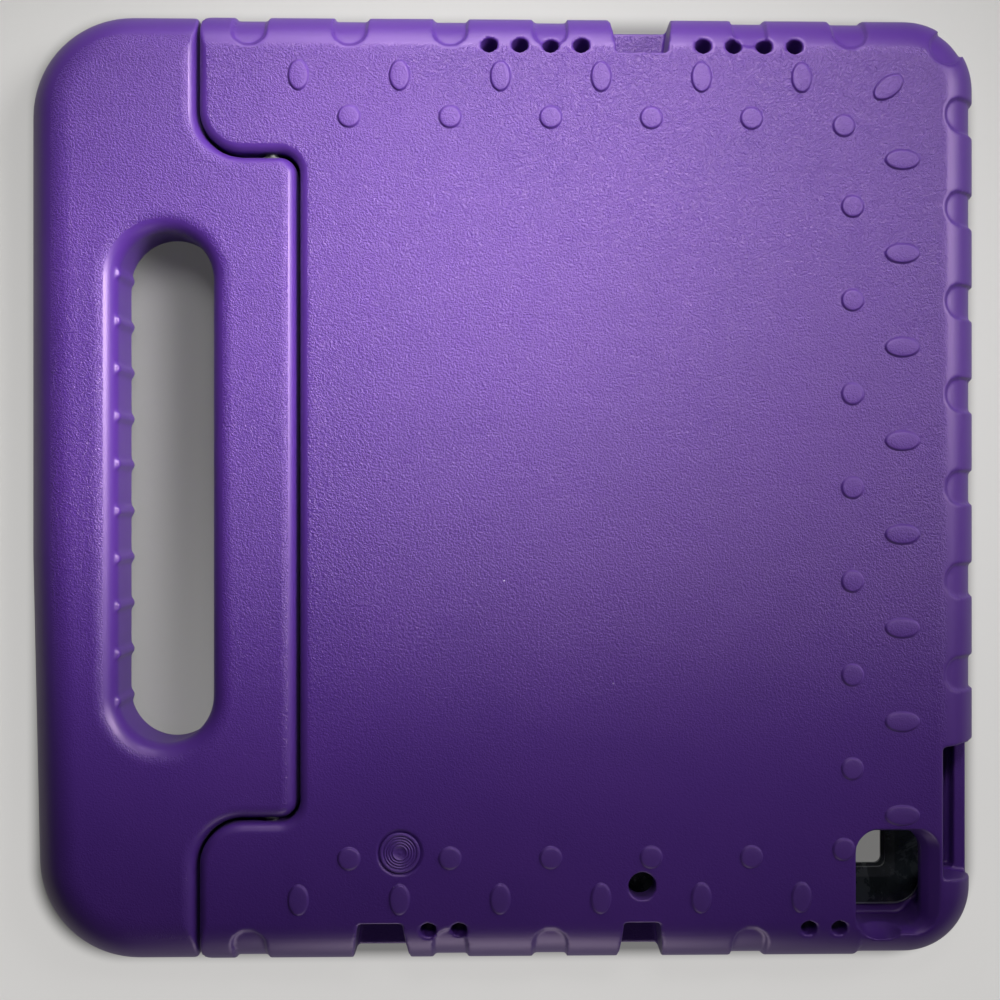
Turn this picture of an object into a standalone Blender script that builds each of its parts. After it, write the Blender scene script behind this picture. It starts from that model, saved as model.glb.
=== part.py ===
"""Kids tablet case: a moulded foam shell with a fold-out carry handle.

The case lies on the rim of its front face with its back up. +X points away from the
handle, +Y along the tablet's length, +Z out of the back. The origin is on the floor
under the middle of the whole outline.
"""
import math

import bmesh
import bpy
from mathutils import Matrix, Vector

MM = 0.001
TINY = 0.01 * MM

# The tablet that the pocket is made for
TABLET_LENGTH = 250.6 * MM
TABLET_WIDTH = 174.1 * MM
TABLET_THICKNESS = 7.5 * MM
TABLET_CORNER = 9.0 * MM
POCKET_FIT = 0.5 * MM

# Gap between pieces that rest on each other
SEAT_GAP = 0.3 * MM

# Screen frame and its clear film, which lie between the front lip and the tablet
FRAME_THICKNESS = 1.4 * MM
FRAME_SIDE_INSET = 1.7 * MM
FRAME_SIDE_BAR = 12.2 * MM
FRAME_END_BAR = 12.6 * MM
FRAME_WINDOW_CORNER = 2.0 * MM
FILM_THICKNESS = 0.4 * MM
FILM_LAP = 4.0 * MM
TABLET_PLAY = 0.2 * MM

# Foam walls round the pocket
FRONT_LIP = 4.6 * MM
LIP_COVER = 5.0 * MM
BACK_WALL = 9.3 * MM
SIDE_WALL = 11.8 * MM
END_WALL = 12.7 * MM
SEAM_WALL = 11.2 * MM

# Outer edges of the shell
CORNER_RADIUS = 21.0 * MM
BACK_ROUND = 14.0 * MM
FRONT_ROUND = 4.0 * MM
LIP_RIM_ROUND = 2.0 * MM
SEAM_ROUND = 3.0 * MM
SEAM_FRONT_ROUND = 1.2 * MM

# Seam between shell and handle: a tongue of the handle lies between two ears of the shell
SEAM_GAP = 0.8 * MM
TONGUE_GAP = 1.0 * MM
TONGUE_LENGTH = 28.7 * MM
EAR_LENGTH = 42.1 * MM
TONGUE_CORNER = 5.0 * MM
EAR_CORNER = 12.5 * MM
SEAM_MOUTH = 4.4 * MM
SEAM_MOUTH_ROUND = 4.3 * MM
MOUTH_OVERRUN = 0.3 * MM

# Handle
HANDLE_DEPTH = 50.0 * MM
HANDLE_CORNER = 30.0 * MM
HANDLE_LEAN = 2.6 * MM
HANDLE_LEAN_START = -20.0 * MM
HANDLE_BACK_ROUND = 15.0 * MM
HANDLE_FRONT_ROUND = 6.0 * MM
TONGUE_ROUND = 4.0 * MM
SLOT_WIDTH = 27.4 * MM
SLOT_LENGTH = 148.0 * MM
SLOT_SETBACK = 26.9 * MM
SLOT_BACK_ROUND = 6.0 * MM
SLOT_FRONT_ROUND = 4.0 * MM
GRIP_RIBS = 10
RIB_PITCH = 13.75 * MM
RIB_RADIUS = 1.5 * MM
RIB_STAND = 1.0 * MM
RIB_FRONT_START = 2.4 * MM
RIB_BACK_END = 3.6 * MM

# Hinge pins along Y, set into the ears and turning in the tongue
HINGE_DEPTH = 5.5 * MM
HINGE_INSET = 7.5 * MM
PIN_RADIUS = 2.0 * MM
PIN_IN_EAR = 13.0 * MM
PIN_IN_TONGUE = 16.0 * MM
PIN_PLAY = 0.15 * MM
SLEEVE_WALL = 1.1 * MM

# Raised pebbles on the back: long ones near the edge, round ones further in
SIDE_PITCH = 27.1 * MM
END_PITCH = 29.0 * MM
OVAL_LENGTH = 9.8 * MM
END_OVAL_LENGTH = 8.5 * MM
OVAL_WIDTH = 5.6 * MM
DOT_SIZE = 6.2 * MM
PEBBLE_HEIGHT = 0.8 * MM
PEBBLE_ROOT = 0.4 * MM
PEBBLE_EDGE_HEIGHT = 0.35 * MM
PEBBLE_EDGE_ROUND = 0.6 * MM
OVAL_INSET = 24.0 * MM
DOT_INSET = 38.5 * MM
END_OVAL_INSET = 20.1 * MM
END_DOT_INSET = 31.9 * MM
END_DOT_START = 67.8 * MM
CORNER_DOT_SHIFT = (2.5 * MM, 2.0 * MM)
CORNER_OVAL_SHIFT = (4.1 * MM, 2.6 * MM)
CORNER_OVAL_TURN = math.radians(38)

# Scallops in the rounded edge
SCALLOP_WIDTH = 10.0 * MM
SCALLOP_REACH = 11.3 * MM
SCALLOP_END_ROUND = 4.75 * MM
SCALLOP_END_DEPTH = 0.5 * MM
SCALLOP_DEPTH = 0.9 * MM
SCALLOP_FLOOR = 5.5 * MM
CORNER_STEP_INSET = 35.7 * MM
CORNER_STEP_LENGTH = 25.0 * MM

# Openings of the shell
SPEAKER_RADIUS = 2.5 * MM
SPEAKER_PITCH = 8.85 * MM
SPEAKER_START = 17.6 * MM
SPEAKER_INSET = 10.6 * MM
SPEAKER_DEPTH = 14.0 * MM
SPEAKER_TILT = math.radians(20)
SPEAKER_LEFT_PAIR = -61.7 * MM
SPEAKER_RIGHT_PAIR = 48.4 * MM
NOTCH_LIP_SET_IN = 1.5 * MM
PORT_WIDTH = 14.5 * MM
PORT_MOUTH = 18.4 * MM
BOTTOM_NOTCH_WIDTH = 10.3 * MM
BOTTOM_NOTCH_MOUTH = 13.2 * MM
LEFT_NOTCH_WIDTH = 12.7 * MM
LEFT_NOTCH_MOUTH = 16.8 * MM
LEFT_NOTCH_OFFSET = -75.6 * MM
MIC_RADIUS = 4.1 * MM
MIC_INSET = 23.5 * MM
SIDE_SLOT_LENGTH = 38.0 * MM
SIDE_SLOT_CENTRE = -94.5 * MM
SIDE_SLOT_SLANT = 1.5 * MM
SIDE_SLOT_WELL = 7.2 * MM
SIDE_SLOT_SILL = 9.0 * MM
SIDE_SLOT_SET_IN = 1.0 * MM
CAMERA_WIDTH = 19.9 * MM
CAMERA_LENGTH = 28.5 * MM
CAMERA_SIDE_INSET = 17.1 * MM
CAMERA_END_INSET = 10.1 * MM
CAMERA_CORNER = 4.5 * MM
CAMERA_DISH_SIDE = 4.5 * MM
CAMERA_DISH_END = 2.5 * MM
CAMERA_DISH_DEPTH = 3.0 * MM
CAMERA_RIM = 0.5 * MM

# Moulded disc on the back
DISC_RADIUS = 6.2 * MM
DISC_SEAM_INSET = 28.9 * MM
DISC_END_INSET = 33.4 * MM
DISC_GROOVE_WIDTH = 0.8 * MM
DISC_GROOVE_DEPTH = 0.9 * MM
DISC_RING_WIDTH = 0.48 * MM
DISC_RING_DEPTH = 0.36 * MM
DISC_RING_STEP = 1.9 * MM
DISC_RINGS = 2

# Places worked out from the sizes above
POCKET_HALF_WIDTH = TABLET_WIDTH / 2 + POCKET_FIT
POCKET_HALF_LENGTH = TABLET_LENGTH / 2 + POCKET_FIT
FRAME_LOW = FRONT_LIP + SEAT_GAP
FRAME_HIGH = FRAME_LOW + FRAME_THICKNESS
FILM_LOW = FRAME_HIGH + SEAT_GAP
FILM_HIGH = FILM_LOW + FILM_THICKNESS
POCKET_HIGH = FILM_HIGH + TABLET_THICKNESS + TABLET_PLAY
THICKNESS = POCKET_HIGH + BACK_WALL
HALF_LENGTH = POCKET_HALF_LENGTH + END_WALL
OVERALL_WIDTH = (HANDLE_DEPTH + TONGUE_LENGTH + TONGUE_GAP + SEAM_WALL
                 + 2 * POCKET_HALF_WIDTH + SIDE_WALL)
X_RIGHT = OVERALL_WIDTH / 2
X_LEFT = -X_RIGHT
X_HANDLE_FACE = X_LEFT + HANDLE_DEPTH
X_EAR_FACE = X_HANDLE_FACE + SEAM_GAP
X_TONGUE_END = X_HANDLE_FACE + TONGUE_LENGTH
X_SEAM_WALL = X_TONGUE_END + TONGUE_GAP
X_TABLET = X_SEAM_WALL + SEAM_WALL + POCKET_HALF_WIDTH
X_POCKET_RIGHT = X_TABLET + POCKET_HALF_WIDTH
EAR_FLANK = HALF_LENGTH - EAR_LENGTH
TONGUE_HALF_WIDTH = EAR_FLANK - TONGUE_GAP
X_HINGE = X_TONGUE_END - HINGE_INSET
Z_HINGE = THICKNESS - HINGE_DEPTH
SLEEVE_BORE = PIN_RADIUS + PIN_PLAY
SLEEVE_RADIUS = SLEEVE_BORE + SLEEVE_WALL
X_SLOT = X_LEFT + SLOT_SETBACK + SLOT_WIDTH / 2
OVERSHOOT = 10.0 * MM
CUT_OVERLAP = 0.2 * MM
CORE_PROUD = 0.05 * MM
CORNER_STEPS = 10
FINE_STEPS = 5


def clear_scene():
    for old in list(bpy.data.objects):
        bpy.data.objects.remove(old, do_unlink=True)


def new_collection(name):
    group = bpy.data.collections.new(name)
    bpy.context.scene.collection.children.link(group)
    return group


def finish(name, colour, roughness, metallic=0.0):
    material = bpy.data.materials.new(name)
    material.use_nodes = True
    shader = material.node_tree.nodes["Principled BSDF"]
    shader.inputs["Base Color"].default_value = (*colour, 1.0)
    shader.inputs["Roughness"].default_value = roughness
    shader.inputs["Metallic"].default_value = metallic
    return material


def as_node(solid, material):
    """Turns a finished solid into a piece of the case."""
    solid.data.materials.clear()
    solid.data.materials.append(material)
    solid.data.shade_smooth()
    solid.data.set_sharp_from_angle(angle=math.radians(35))
    return solid


def as_cutter(solid):
    PARTS.objects.unlink(solid)
    CUTTERS.objects.link(solid)
    solid.hide_render = True
    solid.display_type = "WIRE"
    return solid


def combine(solid, other, operation):
    """Adds, subtracts or intersects another solid, which becomes a cutter."""
    step = solid.modifiers.new(other.name, "BOOLEAN")
    step.operation = operation
    step.object = as_cutter(other)
    step.solver = "EXACT"
    return solid


def rounded_outline(corners):
    """Points of a closed outline. Each corner is x, y, radius and number of arc steps."""
    points = []
    count = len(corners)
    for index, (x, y, radius, steps) in enumerate(corners):
        here = Vector((x, y))
        if radius == 0:
            points.append((x, y))
            continue
        before = Vector(corners[index - 1][:2])
        after = Vector(corners[(index + 1) % count][:2])
        inward = (before - here).normalized()
        outward = (after - here).normalized()
        half_angle = inward.angle(outward) / 2
        reach = radius / math.tan(half_angle)
        centre = here + (inward + outward).normalized() * radius / math.sin(half_angle)
        first = here + inward * reach - centre
        last = here + outward * reach - centre
        turn = first.angle_signed(last)
        for step in range(steps + 1):
            spoke = first.copy()
            spoke.rotate(Matrix.Rotation(-turn * step / steps, 2))
            points.append(tuple(centre + spoke))
    return points


def rectangle(x_low, x_high, y_low, y_high, radius=0.0, steps=FINE_STEPS):
    return rounded_outline([(x_low, y_low, radius, steps), (x_high, y_low, radius, steps),
                            (x_high, y_high, radius, steps), (x_low, y_high, radius, steps)])


def mesh_object(name, shape):
    """Puts a bmesh in a new object of the parts collection, with its faces outward."""
    bmesh.ops.recalc_face_normals(shape, faces=shape.faces)
    mesh = bpy.data.meshes.new(name)
    shape.to_mesh(mesh)
    shape.free()
    solid = bpy.data.objects.new(name, mesh)
    PARTS.objects.link(solid)
    return solid


def flat_solid(name, outlines, low, high):
    """Extrudes an outline, and any holes after it, between two heights."""
    curve = bpy.data.curves.new(name, "CURVE")
    curve.dimensions = "2D"
    curve.fill_mode = "BOTH"
    curve.extrude = (high - low) / 2
    for outline in outlines:
        spline = curve.splines.new("POLY")
        spline.points.add(len(outline) - 1)
        for point, (x, y) in zip(spline.points, outline):
            point.co = (x, y, 0.0, 1.0)
        spline.use_cyclic_u = True
    flat = bpy.data.objects.new(name + "_outline", curve)
    flat.location.z = (low + high) / 2
    PARTS.objects.link(flat)
    bpy.context.view_layer.update()
    evaluated = flat.evaluated_get(bpy.context.evaluated_depsgraph_get())
    mesh = bpy.data.meshes.new_from_object(evaluated)
    shape = bmesh.new()
    shape.from_mesh(mesh)
    shape.transform(flat.matrix_world)
    bmesh.ops.remove_doubles(shape, verts=shape.verts, dist=TINY)
    bmesh.ops.dissolve_limit(shape, angle_limit=math.radians(0.5), verts=shape.verts,
                             edges=shape.edges)
    bpy.data.objects.remove(flat)
    bpy.data.meshes.remove(mesh)
    return mesh_object(name, shape)


def round_rim(solid, height, radius, segments, side=None):
    """Rounds the edges at one height, or only those that side(x) picks by their X."""
    shape = bmesh.new()
    shape.from_mesh(solid.data)
    rim = [edge for edge in shape.edges
           if all(abs(vert.co.z - height) < TINY for vert in edge.verts)
           and (side is None or all(side(vert.co.x) for vert in edge.verts))]
    bmesh.ops.bevel(shape, geom=rim, offset=radius, offset_type="OFFSET", segments=segments,
                    profile=0.5, affect="EDGES", clamp_overlap=False)
    bmesh.ops.remove_doubles(shape, verts=shape.verts, dist=TINY)
    bmesh.ops.recalc_face_normals(shape, faces=shape.faces)
    shape.to_mesh(solid.data)
    shape.free()
    return solid


def lofted(name, sections):
    """Joins outlines of equal point count, each at its own height, into one solid."""
    shape = bmesh.new()
    rings = [[shape.verts.new((x, y, height)) for x, y in outline]
             for height, outline in sections]
    count = len(rings[0])
    for lower, upper in zip(rings, rings[1:]):
        for index in range(count):
            after = (index + 1) % count
            shape.faces.new((lower[index], lower[after], upper[after], upper[index]))
    shape.faces.new(rings[0])
    shape.faces.new(rings[-1])
    return mesh_object(name, shape)


def flared_sections(box, radius, low_round, high_round, low, high, steps):
    """Sections of a rounded rectangular hole whose two rims are rounded outward."""
    sections = []
    arc_steps = 3
    for step in range(arc_steps + 1):
        angle = math.pi / 2 * step / arc_steps
        spread = low_round * (1 - math.sin(angle))
        sections.append((low + low_round * (1 - math.cos(angle)), spread))
    for step in range(arc_steps + 1):
        angle = math.pi / 2 * step / arc_steps
        spread = high_round * (1 - math.cos(angle))
        sections.append((high - high_round * (1 - math.sin(angle)), spread))
    sections = [(low - OVERSHOOT, low_round)] * bool(low_round) + sections
    sections = sections + [(high + OVERSHOOT, high_round)] * bool(high_round)
    tidy = []
    for height, spread in sections:
        if not tidy or height - tidy[-1][0] > TINY:
            tidy.append((height, spread))
    x_low, x_high, y_low, y_high = box
    return [(height, rectangle(x_low - spread, x_high + spread, y_low - spread,
                               y_high + spread, radius + spread, steps))
            for height, spread in tidy]


def rod(name, start, end, radius, sides=24):
    """A plain round rod between two points."""
    start, end = Vector(start), Vector(end)
    along = end - start
    turn = Vector((0, 0, 1)).rotation_difference(along).to_matrix().to_4x4()
    shape = bmesh.new()
    bmesh.ops.create_cone(shape, cap_ends=True, segments=sides, radius1=radius,
                          radius2=radius, depth=along.length,
                          matrix=Matrix.Translation((start + end) / 2) @ turn)
    return mesh_object(name, shape)


def joined(name, pieces):
    """Puts several separate solids into one object."""
    shape = bmesh.new()
    for piece in pieces:
        shape.from_mesh(piece.data)
        mesh = piece.data
        bpy.data.objects.remove(piece)
        bpy.data.meshes.remove(mesh)
    return mesh_object(name, shape)


def pebble(place, length, width, turn):
    """One raised pebble with a flat top, rooted a little under the back face."""
    def oval(inset):
        angles = [2 * math.pi * step / 16 for step in range(16)]
        return [((length / 2 - inset) * math.cos(angle), (width / 2 - inset) * math.sin(angle))
                for angle in angles]

    middle = (PEBBLE_EDGE_HEIGHT + PEBBLE_HEIGHT * 2) / 3
    solid = lofted("pebble", [
        (-PEBBLE_ROOT, oval(0.0)), (PEBBLE_EDGE_HEIGHT, oval(0.0)),
        (middle, oval(PEBBLE_EDGE_ROUND / 3)), (PEBBLE_HEIGHT, oval(PEBBLE_EDGE_ROUND))])
    solid.data.transform(Matrix.Translation((*place, THICKNESS)) @ Matrix.Rotation(turn, 4, "Z"))
    return solid


# Outline of the shell, and of the handle beside it


def shell_slab(inset, height, back_round):
    """The shell's rounded block before the seam is cut, inset on its three outer sides."""
    x_far = X_EAR_FACE - BACK_ROUND - OVERSHOOT
    radius = CORNER_RADIUS - inset
    outline = rounded_outline([
        (x_far, inset - HALF_LENGTH, 0, 0),
        (X_RIGHT - inset, inset - HALF_LENGTH, radius, CORNER_STEPS),
        (X_RIGHT - inset, HALF_LENGTH - inset, radius, CORNER_STEPS),
        (x_far, HALF_LENGTH - inset, 0, 0)])
    slab = flat_solid("shell_slab", [outline], 0.0, height)
    round_rim(slab, height, back_round, 7)
    return slab


def seam_block(name, corners, far):
    """A block on one side of the seam, from half of the seam's corners to a far side."""
    other_half = [(x, -y, radius, steps) for x, y, radius, steps in reversed(corners)]
    ends = [(far, -corners[0][1], 0, 0), (far, corners[0][1], 0, 0)]
    return flat_solid(name, [rounded_outline(corners + other_half + ends)], 0.0, THICKNESS)


def shell_seam():
    """Everything on the shell's side of the seam."""
    mouth_x = X_EAR_FACE + SEAM_MOUTH
    seam = seam_block("shell_seam", [
        (mouth_x, HALF_LENGTH + OVERSHOOT, 0, 0),
        (mouth_x, HALF_LENGTH + MOUTH_OVERRUN, 0, 0),
        (X_EAR_FACE, HALF_LENGTH + MOUTH_OVERRUN, SEAM_MOUTH_ROUND, 4),
        (X_EAR_FACE, EAR_FLANK, EAR_CORNER, 6),
        (X_SEAM_WALL, EAR_FLANK, TONGUE_CORNER + TONGUE_GAP, 4)], X_RIGHT + OVERSHOOT)
    round_rim(seam, THICKNESS, SEAM_ROUND, 4, lambda x: x < X_RIGHT)
    return round_rim(seam, 0.0, SEAM_FRONT_ROUND, 2, lambda x: x < X_RIGHT)


def handle_slab():
    """The handle's rounded block before the seam is cut."""
    x_far = X_TONGUE_END + HANDLE_BACK_ROUND + OVERSHOOT
    outline = rounded_outline([
        (X_LEFT + HANDLE_LEAN, -HALF_LENGTH, HANDLE_CORNER, CORNER_STEPS),
        (x_far, -HALF_LENGTH, 0, 0),
        (x_far, HALF_LENGTH, 0, 0),
        (X_LEFT, HALF_LENGTH, HANDLE_CORNER, CORNER_STEPS),
        (X_LEFT, HANDLE_LEAN_START, 0, 0)])
    slab = flat_solid("handle", [outline], 0.0, THICKNESS)
    round_rim(slab, THICKNESS, HANDLE_BACK_ROUND, 7)
    round_rim(slab, 0.0, HANDLE_FRONT_ROUND, 3)
    return slab


def handle_seam():
    """Everything on the handle's side of the seam."""
    mouth_x = X_HANDLE_FACE - SEAM_MOUTH
    hollow = EAR_CORNER + (SEAM_GAP + TONGUE_GAP) / 2
    seam = seam_block("handle_seam", [
        (mouth_x, HALF_LENGTH + OVERSHOOT, 0, 0),
        (mouth_x, HALF_LENGTH + MOUTH_OVERRUN, 0, 0),
        (X_HANDLE_FACE, HALF_LENGTH + MOUTH_OVERRUN, SEAM_MOUTH_ROUND, 4),
        (X_HANDLE_FACE, TONGUE_HALF_WIDTH, hollow, 6),
        (X_TONGUE_END, TONGUE_HALF_WIDTH, TONGUE_CORNER, 4)], X_LEFT - OVERSHOOT)
    round_rim(seam, THICKNESS, TONGUE_ROUND, 4, lambda x: x > X_LEFT)
    return round_rim(seam, 0.0, SEAM_FRONT_ROUND, 2, lambda x: x > X_LEFT)


# Detail of the shell


def dot_columns():
    """X of the round pebbles along the two ends, which the end scallops share."""
    return [X_RIGHT - END_DOT_START - END_PITCH * step for step in range(-1, 6)]


def pebbles():
    """All raised pebbles of the back."""
    pieces = []
    quarter = math.pi / 2
    for step in range(-4, 4):
        place = (X_RIGHT - OVAL_INSET, (step + 0.5) * SIDE_PITCH)
        pieces.append(pebble(place, OVAL_LENGTH, OVAL_WIDTH, 0.0))
    for step in range(-3, 4):
        place = (X_RIGHT - DOT_INSET, step * SIDE_PITCH)
        pieces.append(pebble(place, DOT_SIZE, DOT_SIZE, 0.0))
    columns = dot_columns()[1:6]
    for side in (1, -1):
        for x in columns:
            place = (x, side * (HALF_LENGTH - END_DOT_INSET))
            pieces.append(pebble(place, DOT_SIZE, DOT_SIZE, 0.0))
        for x in [columns[0] + END_PITCH / 2] + [x - END_PITCH / 2 for x in columns]:
            place = (x, side * (HALF_LENGTH - END_OVAL_INSET))
            pieces.append(pebble(place, END_OVAL_LENGTH, OVAL_WIDTH, quarter))
        place = (X_RIGHT - DOT_INSET - CORNER_DOT_SHIFT[0],
                 side * (HALF_LENGTH - END_DOT_INSET - CORNER_DOT_SHIFT[1]))
        pieces.append(pebble(place, DOT_SIZE, DOT_SIZE, 0.0))
    corner = (X_RIGHT - OVAL_INSET - CORNER_OVAL_SHIFT[0],
              HALF_LENGTH - END_OVAL_INSET - CORNER_OVAL_SHIFT[1])
    pieces.append(pebble(corner, OVAL_LENGTH, OVAL_WIDTH, CORNER_OVAL_TURN))
    return joined("pebbles", pieces)


def scallop_places():
    """Mouth point on the outline and inward direction of every scallop."""
    places = [((X_RIGHT, step * SIDE_PITCH), math.pi) for step in range(-2, 5)]
    columns = dot_columns()
    top = [columns[index] for index in (0, 1, 3, 4, 5, 6)]
    bottom = [columns[index] for index in (1, 3, 4, 6)]
    places += [((x, HALF_LENGTH), -math.pi / 2) for x in top]
    places += [((x, -HALF_LENGTH), math.pi / 2) for x in bottom]
    reach = CORNER_RADIUS * (1 - math.cos(math.pi / 4))
    corner = (X_RIGHT - reach, HALF_LENGTH - reach)
    places.append((corner, -3 * math.pi / 4))
    return places


def scallops():
    """Shallow U-shaped recesses, which follow the rounded edge a little below it."""
    half = SCALLOP_WIDTH / 2
    fins = []
    for (x, y), turn in scallop_places():
        outline = rounded_outline([
            (-OVERSHOOT, -half, 0, 0), (SCALLOP_REACH, -half, SCALLOP_END_ROUND, 4),
            (SCALLOP_REACH, half, SCALLOP_END_ROUND, 4), (-OVERSHOOT, half, 0, 0)])
        fin = flat_solid("fin", [outline], SCALLOP_FLOOR, THICKNESS + OVERSHOOT)
        fin.data.transform(Matrix.Translation((x, y, 0)) @ Matrix.Rotation(turn, 4, "Z"))
        fins.append(fin)
    cutter = joined("scallops", fins)
    core = shell_slab(SCALLOP_DEPTH, THICKNESS - SCALLOP_END_DEPTH, BACK_ROUND)
    core.name = "scallop_core"
    return combine(cutter, core, "DIFFERENCE")


def corner_step():
    """The same shallow recess over the whole corner by the camera."""
    corner = rectangle(X_RIGHT - CORNER_STEP_INSET, X_RIGHT + OVERSHOOT,
                       -HALF_LENGTH - OVERSHOOT, CORNER_STEP_LENGTH - HALF_LENGTH)
    cutter = flat_solid("corner_step", [corner], SCALLOP_FLOOR, THICKNESS + OVERSHOOT)
    core = shell_slab(SCALLOP_DEPTH, THICKNESS + CORE_PROUD, BACK_ROUND)
    core.name = "corner_core"
    return combine(cutter, core, "DIFFERENCE")


def notch(name, x, side, width, mouth):
    """A notch in an end wall, open to the back and outside and wider at its mouth."""
    inner = side * (POCKET_HALF_LENGTH - CUT_OVERLAP)
    outer = side * (HALF_LENGTH + OVERSHOOT)
    edge = side * HALF_LENGTH
    outline = [(x - width / 2, inner), (x + width / 2, inner), (x + mouth / 2, edge),
               (x + mouth / 2, outer), (x - mouth / 2, outer), (x - mouth / 2, edge)]
    upper = flat_solid(name, [outline], FRONT_LIP, THICKNESS + OVERSHOOT)
    lip_y = side * (HALF_LENGTH - NOTCH_LIP_SET_IN)
    y_low, y_high = sorted((lip_y, outer))
    lower = flat_solid(name + "_lip", [rectangle(x - mouth / 2, x + mouth / 2, y_low, y_high)],
                       -OVERSHOOT, FRONT_LIP + CUT_OVERLAP)
    return combine(upper, lower, "UNION")


def side_slot():
    """The long notch for the buttons: a deep well beside the tablet and a sill outside it."""
    y_low = SIDE_SLOT_CENTRE - SIDE_SLOT_LENGTH / 2
    y_high = SIDE_SLOT_CENTRE + SIDE_SLOT_LENGTH / 2
    inner = X_POCKET_RIGHT - CUT_OVERLAP
    outer = X_RIGHT + OVERSHOOT
    mouth_low, mouth_high = y_low - SIDE_SLOT_SLANT, y_high + SIDE_SLOT_SLANT
    outline = [(inner, y_low), (X_RIGHT, mouth_low), (outer, mouth_low), (outer, mouth_high),
               (X_RIGHT, mouth_high), (inner, y_high)]
    slot = flat_solid("side_slot", [outline], SIDE_SLOT_SILL, THICKNESS + OVERSHOOT)
    well = rectangle(inner, X_POCKET_RIGHT + SIDE_SLOT_WELL, y_low, y_high)
    combine(slot, flat_solid("side_slot_well", [well], FRONT_LIP,
                             SIDE_SLOT_SILL + CUT_OVERLAP), "UNION")
    sill = rectangle(X_RIGHT - SIDE_SLOT_SET_IN, outer, mouth_low, mouth_high)
    combine(slot, flat_solid("side_slot_sill", [sill], -OVERSHOOT,
                             SIDE_SLOT_SILL + CUT_OVERLAP), "UNION")
    return slot


def speaker_holes():
    """Two rows of slanted holes from the rounded edge to the tablet's end."""
    rods = []

    def hole(x, side):
        top = Vector((x, side * (HALF_LENGTH - SPEAKER_INSET), THICKNESS))
        way = Vector((0, -side * math.sin(SPEAKER_TILT), -math.cos(SPEAKER_TILT)))
        rods.append(rod("hole", top - way * SPEAKER_RADIUS * 2, top + way * SPEAKER_DEPTH,
                        SPEAKER_RADIUS, 16))

    for side_x in (1, -1):
        for step in range(4):
            hole(X_TABLET + side_x * (SPEAKER_START + step * SPEAKER_PITCH), 1)
    for start in (SPEAKER_LEFT_PAIR, SPEAKER_RIGHT_PAIR):
        for step in range(2):
            hole(X_TABLET + start + step * SPEAKER_PITCH, -1)
    return joined("speaker_holes", rods)


def camera_opening():
    """The camera's window, with a dish cut into the back towards the corner."""
    x_high = X_RIGHT - CAMERA_SIDE_INSET
    x_low = x_high - CAMERA_WIDTH
    y_low = CAMERA_END_INSET - HALF_LENGTH
    y_high = y_low + CAMERA_LENGTH
    inner = rectangle(x_low, x_high, y_low, y_high, CAMERA_CORNER)
    dish = rectangle(x_low - CAMERA_RIM, x_high + CAMERA_DISH_SIDE, y_low - CAMERA_DISH_END,
                     y_high + 2 * CAMERA_RIM, CAMERA_CORNER + 2 * CAMERA_RIM)
    return lofted("camera_opening", [
        (FRONT_LIP, inner), (THICKNESS - CAMERA_DISH_DEPTH, inner), (THICKNESS, dish),
        (THICKNESS + OVERSHOOT, dish)])


def disc_grooves():
    """Turned ring cutters for the moulded disc and the rings on it."""
    place = Vector((X_SEAM_WALL + DISC_SEAM_INSET, DISC_END_INSET - HALF_LENGTH, 0))
    radii = [(DISC_RADIUS, DISC_GROOVE_WIDTH, DISC_GROOVE_DEPTH)]
    radii += [(DISC_RADIUS - DISC_RING_STEP * (step + 1), DISC_RING_WIDTH, DISC_RING_DEPTH)
              for step in range(DISC_RINGS)]
    rings = []
    for radius, width, depth in radii:
        profile = bmesh.new()
        outer, inner = radius + width / 2, radius - width / 2
        top, floor = THICKNESS + OVERSHOOT, THICKNESS - depth
        corners = [(outer, 0, top), (outer, 0, floor), (inner, 0, floor), (inner, 0, top)]
        verts = [profile.verts.new(corner) for corner in corners]
        edges = [profile.edges.new((verts[index], verts[(index + 1) % 4]))
                 for index in range(4)]
        bmesh.ops.spin(profile, geom=verts + edges, cent=(0, 0, 0), axis=(0, 0, 1),
                       angle=2 * math.pi, steps=32, use_merge=True)
        profile.transform(Matrix.Translation(place))
        rings.append(mesh_object("ring", profile))
    return joined("disc_grooves", rings)


def hinge_bores(name, side, start, length):
    """A blind round hole for a sleeve, from a flank along Y."""
    begin = (X_HINGE, side * start, Z_HINGE)
    end = (X_HINGE, side * (start + length), Z_HINGE)
    return rod(name, begin, end, SLEEVE_RADIUS + SEAT_GAP)


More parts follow.
